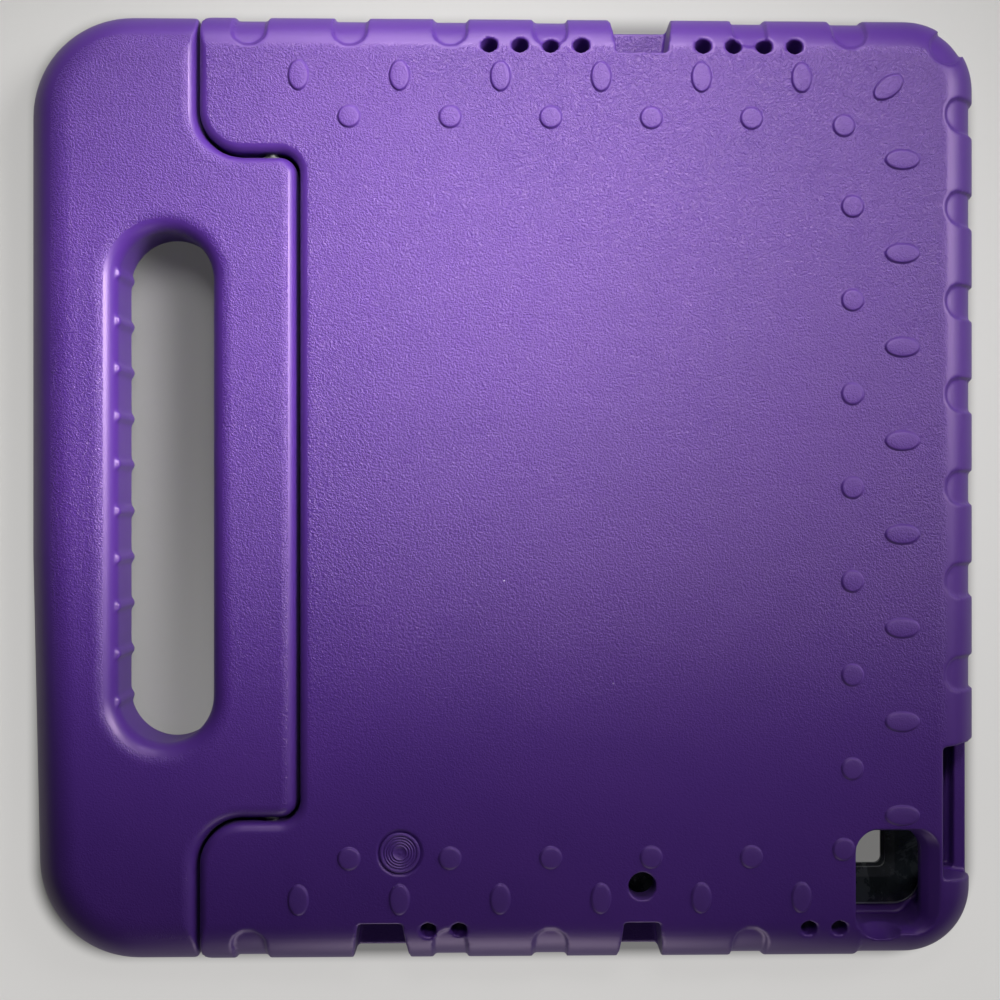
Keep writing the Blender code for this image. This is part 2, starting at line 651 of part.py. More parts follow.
def build_shell():
    shell = shell_slab(0.0, THICKNESS, BACK_ROUND)
    shell.name = "case_shell"
    round_rim(shell, 0.0, FRONT_ROUND, 3)
    combine(shell, shell_seam(), "INTERSECT")
    combine(shell, scallops(), "DIFFERENCE")
    combine(shell, corner_step(), "DIFFERENCE")
    combine(shell, pebbles(), "UNION")
    pocket = rectangle(X_TABLET - POCKET_HALF_WIDTH, X_POCKET_RIGHT, -POCKET_HALF_LENGTH,
                       POCKET_HALF_LENGTH, TABLET_CORNER)
    combine(shell, flat_solid("tablet_pocket", [pocket], FRONT_LIP, POCKET_HIGH), "DIFFERENCE")
    opening = (X_TABLET - TABLET_WIDTH / 2 + LIP_COVER, X_TABLET + TABLET_WIDTH / 2 - LIP_COVER,
               LIP_COVER - TABLET_LENGTH / 2, TABLET_LENGTH / 2 - LIP_COVER)
    sections = flared_sections(opening, TABLET_CORNER, LIP_RIM_ROUND, 0.0, 0.0,
                               FRONT_LIP + 1 * MM, FINE_STEPS)
    combine(shell, lofted("front_opening", sections), "DIFFERENCE")
    combine(shell, camera_opening(), "DIFFERENCE")
    combine(shell, notch("port_notch", X_TABLET, 1, PORT_WIDTH, PORT_MOUTH), "DIFFERENCE")
    combine(shell, notch("bottom_notch", X_TABLET, -1, BOTTOM_NOTCH_WIDTH, BOTTOM_NOTCH_MOUTH),
            "DIFFERENCE")
    combine(shell, notch("left_notch", X_TABLET + LEFT_NOTCH_OFFSET, -1, LEFT_NOTCH_WIDTH,
                         LEFT_NOTCH_MOUTH), "DIFFERENCE")
    combine(shell, side_slot(), "DIFFERENCE")
    combine(shell, speaker_holes(), "DIFFERENCE")
    mic = rod("microphone_hole", (X_TABLET, MIC_INSET - HALF_LENGTH, POCKET_HIGH - 1 * MM),
              (X_TABLET, MIC_INSET - HALF_LENGTH, THICKNESS + OVERSHOOT), MIC_RADIUS)
    combine(shell, mic, "DIFFERENCE")
    combine(shell, disc_grooves(), "DIFFERENCE")
    for side, word in ((1, "upper"), (-1, "lower")):
        bore = hinge_bores("ear_bore_" + word, side, EAR_FLANK - 2 * MM,
                           PIN_IN_EAR + 2 * MM + 2 * SEAT_GAP)
        combine(shell, bore, "DIFFERENCE")
    return as_node(shell, FOAM)


def build_handle():
    handle = handle_slab()
    combine(handle, handle_seam(), "INTERSECT")
    half = SLOT_WIDTH / 2
    box = (X_SLOT - half, X_SLOT + half, -SLOT_LENGTH / 2, SLOT_LENGTH / 2)
    sections = flared_sections(box, half - TINY, SLOT_FRONT_ROUND, SLOT_BACK_ROUND, 0.0,
                               THICKNESS, 8)
    combine(handle, lofted("hand_slot", sections), "DIFFERENCE")
    wall = X_SLOT - half
    ribs = []
    for step in range(GRIP_RIBS):
        y = (step - (GRIP_RIBS - 1) / 2) * RIB_PITCH
        x = wall + RIB_STAND - RIB_RADIUS
        ribs.append(rod("rib", (x, y, RIB_FRONT_START), (x, y, THICKNESS - RIB_BACK_END),
                        RIB_RADIUS, 12))
    combine(handle, joined("grip_ribs", ribs), "UNION")
    for side, word in ((1, "upper"), (-1, "lower")):
        depth = PIN_IN_TONGUE + 2 * SEAT_GAP
        bore = hinge_bores("tongue_bore_" + word, side, TONGUE_HALF_WIDTH - depth,
                           depth + 2 * MM)
        combine(handle, bore, "DIFFERENCE")
    return as_node(handle, HANDLE_FOAM)


def build_screen_frame():
    half_width = POCKET_HALF_WIDTH - FRAME_SIDE_INSET
    half_length = POCKET_HALF_LENGTH - SEAT_GAP
    outer = rectangle(X_TABLET - half_width, X_TABLET + half_width, -half_length, half_length,
                      TABLET_CORNER - SEAT_GAP)
    window = rectangle(X_TABLET - half_width + FRAME_SIDE_BAR,
                       X_TABLET + half_width - FRAME_SIDE_BAR, FRAME_END_BAR - half_length,
                       half_length - FRAME_END_BAR, FRAME_WINDOW_CORNER)
    frame = flat_solid("screen_frame", [outer, window], FRAME_LOW, FRAME_HIGH)
    return as_node(frame, BLACK_PLASTIC)


def build_screen_film():
    half_width = POCKET_HALF_WIDTH - FRAME_SIDE_INSET - FRAME_SIDE_BAR + FILM_LAP
    half_length = POCKET_HALF_LENGTH - SEAT_GAP - FRAME_END_BAR + FILM_LAP
    outline = rectangle(X_TABLET - half_width, X_TABLET + half_width, -half_length,
                        half_length, FRAME_WINDOW_CORNER)
    film = flat_solid("screen_film", [outline], FILM_LOW, FILM_HIGH)
    return as_node(film, CLEAR_FILM)


def build_hinge(side, word):
    """One hinge: a pin, its bush in the ear and its sleeve in the handle."""
    def place(distance):
        return (X_HINGE, side * distance, Z_HINGE)

    inner = TONGUE_HALF_WIDTH - PIN_IN_TONGUE
    outer = EAR_FLANK + PIN_IN_EAR
    pin = rod("hinge_pin_" + word, place(inner), place(outer), PIN_RADIUS)
    as_node(pin, PIN_PLASTIC)
    for name, low, high in (("ear_bush_", EAR_FLANK + SEAT_GAP, outer - SEAT_GAP),
                            ("handle_sleeve_", inner + SEAT_GAP, TONGUE_HALF_WIDTH)):
        sleeve = rod(name + word, place(low), place(high), SLEEVE_RADIUS)
        bore = rod(name + "bore_" + word, place(low - 2 * MM), place(high + 2 * MM), SLEEVE_BORE)
        combine(sleeve, bore, "DIFFERENCE")
        as_node(sleeve, GREY_PLASTIC)


clear_scene()
PARTS = new_collection("kids_tablet_case")
CUTTERS = new_collection("cutters")
FOAM = finish("purple_foam", (0.16, 0.06, 0.42), 0.55)
HANDLE_FOAM = finish("purple_foam_handle", (0.16, 0.06, 0.42), 0.5)
BLACK_PLASTIC = finish("black_plastic", (0.01, 0.01, 0.012), 0.3)
CLEAR_FILM = finish("clear_film", (0.85, 0.87, 0.9), 0.08)
GREY_PLASTIC = finish("grey_plastic", (0.2, 0.2, 0.22), 0.5)
PIN_PLASTIC = finish("pin_plastic", (0.03, 0.03, 0.035), 0.4)

build_shell()
build_handle()
build_screen_frame()
build_screen_film()
build_hinge(1, "upper")
build_hinge(-1, "lower")
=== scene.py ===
# %% [markdown]
# # A foam tablet case, seen square on from the back
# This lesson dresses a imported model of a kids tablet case. The case is thick moulded foam:
# a shell round the tablet, and a carry handle that folds out as a stand. The frame below
# gives the bodies and the places, and every piece that this script makes sits on them.

# %% Load the frame
import math

import bmesh
import bpy
from mathutils import Matrix, Vector


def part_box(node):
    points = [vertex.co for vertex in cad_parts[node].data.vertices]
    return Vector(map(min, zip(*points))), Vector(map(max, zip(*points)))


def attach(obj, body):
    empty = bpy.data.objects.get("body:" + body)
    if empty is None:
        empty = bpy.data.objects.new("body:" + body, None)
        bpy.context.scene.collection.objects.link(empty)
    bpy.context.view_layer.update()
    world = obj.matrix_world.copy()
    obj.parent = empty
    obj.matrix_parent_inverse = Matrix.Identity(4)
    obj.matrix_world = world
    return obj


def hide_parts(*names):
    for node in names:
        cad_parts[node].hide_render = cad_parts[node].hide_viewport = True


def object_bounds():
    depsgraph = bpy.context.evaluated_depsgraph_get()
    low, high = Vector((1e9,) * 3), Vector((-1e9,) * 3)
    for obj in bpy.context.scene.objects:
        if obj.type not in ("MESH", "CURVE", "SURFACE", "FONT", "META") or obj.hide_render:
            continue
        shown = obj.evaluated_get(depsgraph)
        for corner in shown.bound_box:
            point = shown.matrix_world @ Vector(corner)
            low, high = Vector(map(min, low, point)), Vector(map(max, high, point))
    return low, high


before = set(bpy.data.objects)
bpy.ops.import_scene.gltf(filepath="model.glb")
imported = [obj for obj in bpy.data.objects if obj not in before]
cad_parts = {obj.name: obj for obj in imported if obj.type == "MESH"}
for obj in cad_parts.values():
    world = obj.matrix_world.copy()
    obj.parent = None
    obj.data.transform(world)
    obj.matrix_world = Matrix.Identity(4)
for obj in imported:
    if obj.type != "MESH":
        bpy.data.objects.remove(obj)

MM = 0.001
cad_low, cad_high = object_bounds()
print("CAD box in mm:", [round(v / MM, 1) for v in (*cad_low, *cad_high)])

# %% [markdown]
# The photograph was taken nearly square on, from about 440 mm in front of the case. A short
# distance like that matters: it shows the inner wall of the hand slot on one side only.
# The handle's end looks a little larger than the other end, so the camera is turned by
# about one degree, and a small lens shift brings the case back to the middle.

# %% Camera
CAMERA_PLACE = (-1.5 * MM, -3.6 * MM, 452 * MM)
CAMERA_TURN = math.radians(1.16)
FRAME_WIDTH_AT_CASE = 295.9 * MM
CASE_MIDDLE = 12 * MM

lens = bpy.data.cameras.new("photo_camera")
lens.sensor_fit = "HORIZONTAL"
half_view = FRAME_WIDTH_AT_CASE / 2 / (CAMERA_PLACE[2] - CASE_MIDDLE)
lens.angle = 2 * math.atan(half_view)
lens.shift_x = -math.tan(CAMERA_TURN) / (2 * half_view)
camera = bpy.data.objects.new("photo_camera", lens)
camera.location = CAMERA_PLACE
camera.rotation_euler = (0, -CAMERA_TURN, 0)
bpy.context.scene.collection.objects.link(camera)
bpy.context.scene.camera = camera
bpy.context.scene.view_settings.view_transform = "Standard"
print("camera field of view in degrees:", round(math.degrees(lens.angle), 1))

# %% [markdown]
# The floor is plain, and pale round the case. The lamp falls off towards the case's lower
# end, and the floor has to look evenly pale all the same. So its material adds a glow,
# which camera and glass rays see in full and mirror rays see at half strength. Diffuse rays
# don't see it, so it reaches the foam only as a faint mirroring in its gloss, and the case's
# shadow on the floor stays. The glow fades out just round the case's footprint, which paints
# a narrow contact shadow there. A weaker glow under the case is set to the grey that the
# photograph shows in the hand slot, as painted shade. It is left out along the seam, because
# floor that glows there would show as bright specks.

# %% Floor
FLOOR_SIZE = 6.0
FLOOR_COLOUR = (0.18, 0.177, 0.173, 1)
GLOW_COLOUR = (1.0, 0.985, 0.965, 1)
GLOW_ROUND = {"top": 0.4, "bottom": 0.56, "reach": 0.15}
# The weaker glow under the case is painted shade: the grey of the shaded floor seen through
# the hand slot and the openings.
UNDER_CASE_PAINTED_SHADE = {"top": 0.05, "bottom": 0.17, "from": 0.04, "to": -0.08}
# Distances from the footprint over which the glow rises from none to full: this paints a
# narrow contact shadow round the case.
PAINTED_SHADOW_EDGE = (-1 * MM, 6 * MM)
GLOW_MIRRORED = 0.5
SEAM_FREE = {"slot_right": -70 * MM, "slot_half": 85 * MM, "shell_left": -45 * MM}
FOOTPRINT_CORNER = 24 * MM
FLOOR_ROUGHNESS = 0.9
FLOOR_DROP = 0.1 * MM


def node_in(tree, kind, **settings):
    made = tree.nodes.new(kind)
    for key, value in settings.items():
        setattr(made, key, value)
    return made


def calc(tree, operation, *values, clamp=False):
    """A Math node whose inputs are numbers or other nodes' outputs."""
    made = node_in(tree, "ShaderNodeMath", operation=operation, use_clamp=clamp)
    for index, value in enumerate(values):
        if isinstance(value, (int, float)):
            made.inputs[index].default_value = value
        else:
            tree.links.new(value, made.inputs[index])
    return made.outputs[0]


def ramp(tree, value, low, high, to_low=0.0, to_high=1.0, kind="SMOOTHSTEP"):
    made = node_in(tree, "ShaderNodeMapRange", interpolation_type=kind)
    for label, number in (("From Min", low), ("From Max", high), ("To Min", to_low),
                          ("To Max", to_high)):
        made.inputs[label].default_value = number
    tree.links.new(value, made.inputs["Value"])
    return made.outputs[0]


def distance_outside(tree, place):
    """How far a point is outside the case's footprint, a box with round corners."""
    half = [(high - low) / 2 - FOOTPRINT_CORNER for low, high in zip(cad_low, cad_high)]
    steps = [("ABSOLUTE", None), ("SUBTRACT", (half[0], half[1], 0)),
             ("MAXIMUM", (0, 0, 0)), ("LENGTH", None)]
    for operation, value in steps:
        made = node_in(tree, "ShaderNodeVectorMath", operation=operation)
        tree.links.new(place, made.inputs[0])
        if value:
            made.inputs[1].default_value = value
        place = made.outputs["Value" if operation == "LENGTH" else "Vector"]
    return calc(tree, "SUBTRACT", place, FOOTPRINT_CORNER)


def floor_material():
    paint = bpy.data.materials.new("pale_floor")
    paint.use_nodes = True
    tree = paint.node_tree
    shader = tree.nodes["Principled BSDF"]
    shader.inputs["Base Color"].default_value = FLOOR_COLOUR
    shader.inputs["Roughness"].default_value = FLOOR_ROUGHNESS
    shader.inputs["Emission Color"].default_value = GLOW_COLOUR
    path = node_in(tree, "ShaderNodeLightPath")
    seen = calc(tree, "MAXIMUM", path.outputs["Is Camera Ray"],
                path.outputs["Is Transmission Ray"])
    mirrored = calc(tree, "MULTIPLY", path.outputs["Is Glossy Ray"], GLOW_MIRRORED)
    seen = calc(tree, "MAXIMUM", seen, mirrored)
    place = node_in(tree, "ShaderNodeTexCoord").outputs["Object"]
    where = node_in(tree, "ShaderNodeSeparateXYZ")
    tree.links.new(place, where.inputs[0])
    # Painted contact shadow: the glow is kept off a narrow band round the case's footprint.
    outside = ramp(tree, distance_outside(tree, place), *PAINTED_SHADOW_EDGE)
    around = ramp(tree, where.outputs["Y"], GLOW_ROUND["reach"], -GLOW_ROUND["reach"],
                  GLOW_ROUND["top"], GLOW_ROUND["bottom"], "LINEAR")
    # Painted shade under the case: a weak glow, dimmer at the top end than at the bottom end.
    under = ramp(tree, where.outputs["Y"], UNDER_CASE_PAINTED_SHADE["from"], UNDER_CASE_PAINTED_SHADE["to"],
                 UNDER_CASE_PAINTED_SHADE["top"], UNDER_CASE_PAINTED_SHADE["bottom"])
    from_middle = calc(tree, "ABSOLUTE", where.outputs["Y"])
    in_slot = calc(tree, "MULTIPLY",
                   calc(tree, "LESS_THAN", where.outputs["X"], SEAM_FREE["slot_right"]),
                   calc(tree, "LESS_THAN", from_middle, SEAM_FREE["slot_half"]))
    in_shell = calc(tree, "GREATER_THAN", where.outputs["X"], SEAM_FREE["shell_left"])
    under = calc(tree, "MULTIPLY", under, calc(tree, "MAXIMUM", in_slot, in_shell))
    glow = calc(tree, "MAXIMUM", calc(tree, "MULTIPLY", outside, around), under)
    tree.links.new(calc(tree, "MULTIPLY", seen, glow), shader.inputs["Emission Strength"])
    return paint


floor_shape = bmesh.new()
bmesh.ops.create_grid(floor_shape, x_segments=1, y_segments=1, size=FLOOR_SIZE / 2)
floor_mesh = bpy.data.meshes.new("floor")
floor_shape.to_mesh(floor_mesh)
floor_shape.free()
floor = bpy.data.objects.new("floor", floor_mesh)
floor.location.z = -FLOOR_DROP
floor.data.materials.append(floor_material())
bpy.context.scene.collection.objects.link(floor)
print("floor is", FLOOR_SIZE, "m wide")

# %% [markdown]
# The light comes from above the case's top half: the foam is hazy lilac there and deep
# indigo at the bottom. One soft lamp with a grid in front of it gives this fall-off, because
# its spread is narrow. A second one lights the handle and the ribbed wall of its slot.
# Three weaker lamps bring out the rounded edges at the top, the right and the bottom, and a
# dim world light keeps the hollows from going black. Watts and places were set by comparing
# renders with the photograph.

# %% Lights
LAMPS = {
    "top_softbox": {"place": (0.04, 0.29, 0.42), "aim": (0.035, 0.09, 0.0), "size": 0.25,
                    "watts": 0.225, "spread": 40},
    "handle_light": {"place": (0.16, 0.14, 0.3), "aim": (-0.15, 0.04, 0.012), "size": 0.2,
                     "watts": 0.22, "spread": 39},
    "top_edge": {"place": (-0.03, 0.4, 0.2), "aim": (-0.03, 0.13, 0.015), "size": 0.25,
                 "watts": 0.1, "spread": 60},
    "right_edge": {"place": (0.4, 0.14, 0.24), "aim": (0.13, 0.03, 0.015), "size": 0.25,
                   "watts": 0.13, "spread": 56},
    "low_edge": {"place": (0.0, -0.4, 0.05), "aim": (0.0, -0.13, 0.015), "size": 0.2,
                 "watts": 0.11, "spread": 120},
}
WORLD_COLOUR = (0.92, 0.94, 1.0, 1)
WORLD_LEVEL = 0.02

for name, setting in LAMPS.items():
    light = bpy.data.lights.new(name, "AREA")
    light.shape = "DISK"
    light.size = setting["size"]
    light.energy = setting["watts"]
    light.spread = math.radians(setting["spread"])
    lamp = bpy.data.objects.new(name, light)
    lamp.location = setting["place"]
    aim = Vector(setting["aim"]) - Vector(setting["place"])
    lamp.rotation_euler = aim.to_track_quat("-Z", "Y").to_euler()
    bpy.context.scene.collection.objects.link(lamp)
world = bpy.data.worlds.new("studio")
world.use_nodes = True
world.node_tree.nodes["Background"].inputs["Color"].default_value = WORLD_COLOUR
world.node_tree.nodes["Background"].inputs["Strength"].default_value = WORLD_LEVEL
bpy.context.scene.world = world
print("lamps:", len(LAMPS), "and a world of", WORLD_LEVEL)

# %% [markdown]
# Most of the case is a flat outline given a height and rounded rims. One helper makes an
# outline with rounded corners, and another one fills it as a 2D curve, which Blender turns
# into a closed block. A 2D curve is the quickest way to a clean plate, holes and all.

# %% Outlines and blocks
FINE = 0.01 * MM
ARC_STEP = math.radians(5)


def rounded_outline(corners):
    """Points of a closed outline from corners of x, y and radius."""
    points = []
    for index, (x, y, radius) in enumerate(corners):
        here = Vector((x, y))
        if radius == 0:
            points.append((x, y))
            continue
        inward = (Vector(corners[index - 1][:2]) - here).normalized()
        outward = (Vector(corners[(index + 1) % len(corners)][:2]) - here).normalized()
        half_angle = inward.angle(outward) / 2
        reach = radius / math.tan(half_angle)
        centre = here + (inward + outward).normalized() * radius / math.sin(half_angle)
        first = here + inward * reach - centre
        turn = first.angle_signed(here + outward * reach - centre)
        steps = max(2, round(abs(turn) / ARC_STEP))
        for step in range(steps + 1):
            spoke = first.copy()
            spoke.rotate(Matrix.Rotation(-turn * step / steps, 2))
            points.append(tuple(centre + spoke))
    return points


def rectangle(x_low, x_high, y_low, y_high, radius=0.0):
    return rounded_outline([(x_low, y_low, radius), (x_high, y_low, radius),
                            (x_high, y_high, radius), (x_low, y_high, radius)])


def object_from(shape, name):
    bmesh.ops.recalc_face_normals(shape, faces=shape.faces)
    mesh = bpy.data.meshes.new(name)
    shape.to_mesh(mesh)
    shape.free()
    piece = bpy.data.objects.new(name, mesh)
    bpy.context.scene.collection.objects.link(piece)
    return piece


def block(name, outlines, low, high):
    curve = bpy.data.curves.new(name, "CURVE")
    curve.dimensions = "2D"
    curve.fill_mode = "BOTH"
    curve.extrude = (high - low) / 2
    for outline in outlines:
        spline = curve.splines.new("POLY")
        spline.points.add(len(outline) - 1)
        for point, (x, y) in zip(spline.points, outline):
            point.co = (x, y, 0.0, 1.0)
        spline.use_cyclic_u = True
    flat = bpy.data.objects.new(name, curve)
    flat.location.z = (low + high) / 2
    bpy.context.scene.collection.objects.link(flat)
    bpy.context.view_layer.update()
    flat_mesh = bpy.data.meshes.new_from_object(
        flat.evaluated_get(bpy.context.evaluated_depsgraph_get()))
    shape = bmesh.new()
    shape.from_mesh(flat_mesh)
    shape.transform(flat.matrix_world)
    bmesh.ops.remove_doubles(shape, verts=shape.verts, dist=FINE)
    bmesh.ops.dissolve_limit(shape, angle_limit=math.radians(0.5), verts=shape.verts,
                             edges=shape.edges)
    bpy.data.objects.remove(flat)
    return object_from(shape, name)


print("outline helper makes", len(rectangle(0, 1, 0, 1, 0.1)), "points for a rounded square")

# %% [markdown]
# Foam comes out of its mould with soft rims. The bevel tool rounds the rim of a block, with
# many segments here because a wide rounding shows every facet in its highlight.

# %% Rounded rims
def round_rim(piece, height, radius, segments, keep=None):
    shape = bmesh.new()
    shape.from_mesh(piece.data)
    rim = [edge for edge in shape.edges
           if all(abs(vert.co.z - height) < FINE for vert in edge.verts)
           and (keep is None or all(keep(vert.co.x) for vert in edge.verts))]
    bmesh.ops.bevel(shape, geom=rim, offset=radius, offset_type="OFFSET", segments=segments,
                    profile=0.5, affect="EDGES", clamp_overlap=False)
    bmesh.ops.remove_doubles(shape, verts=shape.verts, dist=FINE)
    bmesh.ops.recalc_face_normals(shape, faces=shape.faces)
    shape.to_mesh(piece.data)
    shape.free()
    return piece


# %% [markdown]
# Rods, lofts and turned pieces cover the rest. A loft skins a row of outlines that have as
# many points as each other, and a turned piece spins a profile of radius and height.

# %% Rods, lofts and turned pieces
def rod(name, start, end, radius, sides=48):
    start, end = Vector(start), Vector(end)
    turn = Vector((0, 0, 1)).rotation_difference(end - start).to_matrix().to_4x4()
    shape = bmesh.new()
    bmesh.ops.create_cone(shape, cap_ends=True, segments=sides, radius1=radius,
                          radius2=radius, depth=(end - start).length,
                          matrix=Matrix.Translation((start + end) / 2) @ turn)
    return object_from(shape, name)


def loft(name, sections):
    """A solid through outlines of equal point count, each at its own height."""
    shape = bmesh.new()
    rings = [[shape.verts.new((x, y, height)) for x, y in outline]
             for height, outline in sections]
    for lower, upper in zip(rings, rings[1:]):
        for index in range(len(lower)):
            after = (index + 1) % len(lower)
            shape.faces.new((lower[index], lower[after], upper[after], upper[index]))
    shape.faces.new(rings[0])
    shape.faces.new(rings[-1])
    return object_from(shape, name)


def oval(length, width, sides=48):
    angles = [2 * math.pi * step / sides for step in range(sides)]
    return [(length / 2 * math.cos(a), width / 2 * math.sin(a)) for a in angles]


def turned(name, place, profile):
    return loft(name, [(place[2] + height, [(place[0] + x, place[1] + y) for x, y in
                                            oval(2 * radius, 2 * radius, 96)])
                       for radius, height in profile])


def merged(name, pieces):
    shape = bmesh.new()
    for piece in pieces:
        shape.from_mesh(piece.data)
        bpy.data.objects.remove(piece)
    return object_from(shape, name)


# %% [markdown]
# Cuts are made with Boolean modifiers. They are applied at once, so each step leaves a
# plain mesh behind and the cutter can be thrown away.

# %% Booleans
def apply_modifiers(piece):
    bpy.context.view_layer.update()
    done = bpy.data.meshes.new_from_object(
        piece.evaluated_get(bpy.context.evaluated_depsgraph_get()))
    piece.modifiers.clear()
    old = piece.data
    piece.data = done
    bpy.data.meshes.remove(old)
    return piece


def combine(piece, other, operation):
    step = piece.modifiers.new("cut", "BOOLEAN")
    step.operation = operation
    step.object = other
    step.solver = "EXACT"
    apply_modifiers(piece)
    bpy.data.objects.remove(other)
    return piece


def triangles(piece):
    piece.data.calc_loop_triangles()
    return len(piece.data.loop_triangles)


# %% [markdown]
# Every cut in the real foam has a soft edge too, because it is moulded and not sawn. A
# voxel remesh turns the sharp cut solid into an even skin, and a few smoothing passes wear
# down all of its edges alike. Decimate then takes away the triangles that flat areas don't
# need.

# %% Soft foam skin
def foam_skin(piece, voxel, passes, budget):
    skin = piece.modifiers.new("skin", "REMESH")
    skin.mode = "VOXEL"
    skin.voxel_size = voxel
    soft = piece.modifiers.new("soft", "SMOOTH")
    soft.factor = 0.5
    soft.iterations = passes
    apply_modifiers(piece)
    dense = triangles(piece)
    thin = piece.modifiers.new("thin", "DECIMATE")
    thin.ratio = min(1.0, budget / dense)
    apply_modifiers(piece)
    piece.data.shade_smooth()
    print(piece.name, "skin:", dense, "triangles thinned to", triangles(piece))
    return piece


# %% [markdown]
# Sizes of the case, in the frame's own axes. The outer ones are read from the frame, and
# the others are the sizes that the pieces were designed with.

# %% Sizes
shell_low, shell_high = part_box("case_shell")
handle_low, handle_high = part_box("handle")
screen_low, screen_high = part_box("screen_frame")
THICKNESS = handle_high.z
X_RIGHT = shell_high.x
X_LEFT = handle_low.x
HALF_LENGTH = shell_high.y
X_EAR = shell_low.x
X_TONGUE_END = handle_high.x
SEAM_GAP = 0.8 * MM
TONGUE_GAP = 1.0 * MM
X_HANDLE_FACE = X_EAR - SEAM_GAP
X_SEAM_WALL = X_TONGUE_END + TONGUE_GAP
EAR_FLANK = HALF_LENGTH - 42.1 * MM
TONGUE_HALF = EAR_FLANK - TONGUE_GAP
CORNER_RADIUS = 21 * MM
BACK_ROUND = 14 * MM
FRONT_ROUND = 4 * MM
SEAM_ROUND = 3 * MM
SEAM_FRONT_ROUND = 1.2 * MM
TONGUE_ROUND = 4 * MM
EAR_CORNER = 12.5 * MM
TONGUE_CORNER = 5 * MM
SEAM_MOUTH = 4.4 * MM
SEAM_MOUTH_ROUND = 4.3 * MM
MOUTH_OVERRUN = 0.3 * MM
OVER = 10 * MM
OVERLAP = 0.2 * MM
SEAT_GAP = 0.3 * MM
FRAME_SIDE_INSET = 1.7 * MM
FRONT_LIP = screen_low.z - SEAT_GAP
POCKET_HIGH = 14.7 * MM
POCKET_BOX = (screen_low.x - FRAME_SIDE_INSET, screen_high.x + FRAME_SIDE_INSET,
              screen_low.y - SEAT_GAP, screen_high.y + SEAT_GAP)
X_TABLET = (screen_low.x + screen_high.x) / 2
TABLET_CORNER = 9 * MM
print("case", round((X_RIGHT - X_LEFT) / MM, 1), "by", round(2 * HALF_LENGTH / MM, 1), "mm")
print("pocket in mm:", [round(v / MM, 1) for v in POCKET_BOX])

# %% [markdown]
# ## The shell
# The outer block of the shell has a wide rounding round its back. The handle's seam cuts
# straight through that rounding with a much smaller one of its own. So the shell is the
# overlap of two blocks: one with the wide rounding, one with the outline of the seam.

# %% Shell blocks
ROUND_SEGMENTS = 20


def shell_block(inset, height, segments):
    x_far = X_EAR - BACK_ROUND - OVER
    outline = rounded_outline([
        (x_far, inset - HALF_LENGTH, 0),
        (X_RIGHT - inset, inset - HALF_LENGTH, CORNER_RADIUS - inset),
        (X_RIGHT - inset, HALF_LENGTH - inset, CORNER_RADIUS - inset),
        (x_far, HALF_LENGTH - inset, 0)])
    piece = block("shell", [outline], 0.0, height)
    return round_rim(piece, height, BACK_ROUND, segments)


def seam_block(corners, far, rim, side):
    other_half = [(x, -y, radius) for x, y, radius in reversed(corners)]
    ends = [(far, -corners[0][1], 0), (far, corners[0][1], 0)]
    piece = block("seam", [rounded_outline(corners + other_half + ends)], 0.0, THICKNESS)
    round_rim(piece, THICKNESS, rim, 8, side)
    return round_rim(piece, 0.0, SEAM_FRONT_ROUND, 4, side)


shell = shell_block(0.0, THICKNESS, ROUND_SEGMENTS)
shell.name = "foam_shell"
round_rim(shell, 0.0, FRONT_ROUND, 8)
ear_corners = [
    (X_EAR + SEAM_MOUTH, HALF_LENGTH + OVER, 0),
    (X_EAR + SEAM_MOUTH, HALF_LENGTH + MOUTH_OVERRUN, 0),
    (X_EAR, HALF_LENGTH + MOUTH_OVERRUN, SEAM_MOUTH_ROUND),
    (X_EAR, EAR_FLANK, EAR_CORNER),
    (X_SEAM_WALL, EAR_FLANK, TONGUE_CORNER + TONGUE_GAP)]
combine(shell, seam_block(ear_corners, X_RIGHT + OVER, SEAM_ROUND, lambda x: x < X_RIGHT),
        "INTERSECT")
print("shell block:", triangles(shell), "triangles")

# %% [markdown]
# The pocket and the screen opening are plain cuts from the front. Through the camera window
# the photograph shows the inside of this pocket, so it is really hollow.

# %% Pocket and screen opening
LIP_COVER = 5.5 * MM
LIP_ROUND = 2 * MM
combine(shell, block("pocket", [rectangle(*POCKET_BOX, TABLET_CORNER)], FRONT_LIP,
                     POCKET_HIGH), "DIFFERENCE")


def opening_section(height, spread):
    x_low, x_high, y_low, y_high = POCKET_BOX
    return height, rectangle(x_low + LIP_COVER - spread, x_high - LIP_COVER + spread,
                             y_low + LIP_COVER - spread, y_high - LIP_COVER + spread,
                             TABLET_CORNER + spread)


opening = [opening_section(-OVER, LIP_ROUND)]
for step in range(7):
    angle = math.pi / 2 * step / 6
    opening.append(opening_section(LIP_ROUND * (1 - math.cos(angle)),
                                   LIP_ROUND * (1 - math.sin(angle))))
opening.append(opening_section(FRONT_LIP + OVERLAP, 0.0))
combine(shell, loft("opening", opening), "DIFFERENCE")
print("shell with its pocket:", triangles(shell), "triangles")

# %% [markdown]
# Three notches in the end walls are for a plug and a switch. Each is open to the back and
# to the outside, and leaves the front lip standing a little further in.

# %% End notches
NOTCH_LIP = 1.5 * MM
END_NOTCHES = [
    {"x": X_TABLET, "side": 1, "width": 14.5 * MM, "mouth": 18.4 * MM},
    {"x": X_TABLET, "side": -1, "width": 10.3 * MM, "mouth": 13.2 * MM},
    {"x": X_TABLET - 75.6 * MM, "side": -1, "width": 12.7 * MM, "mouth": 16.8 * MM},
]


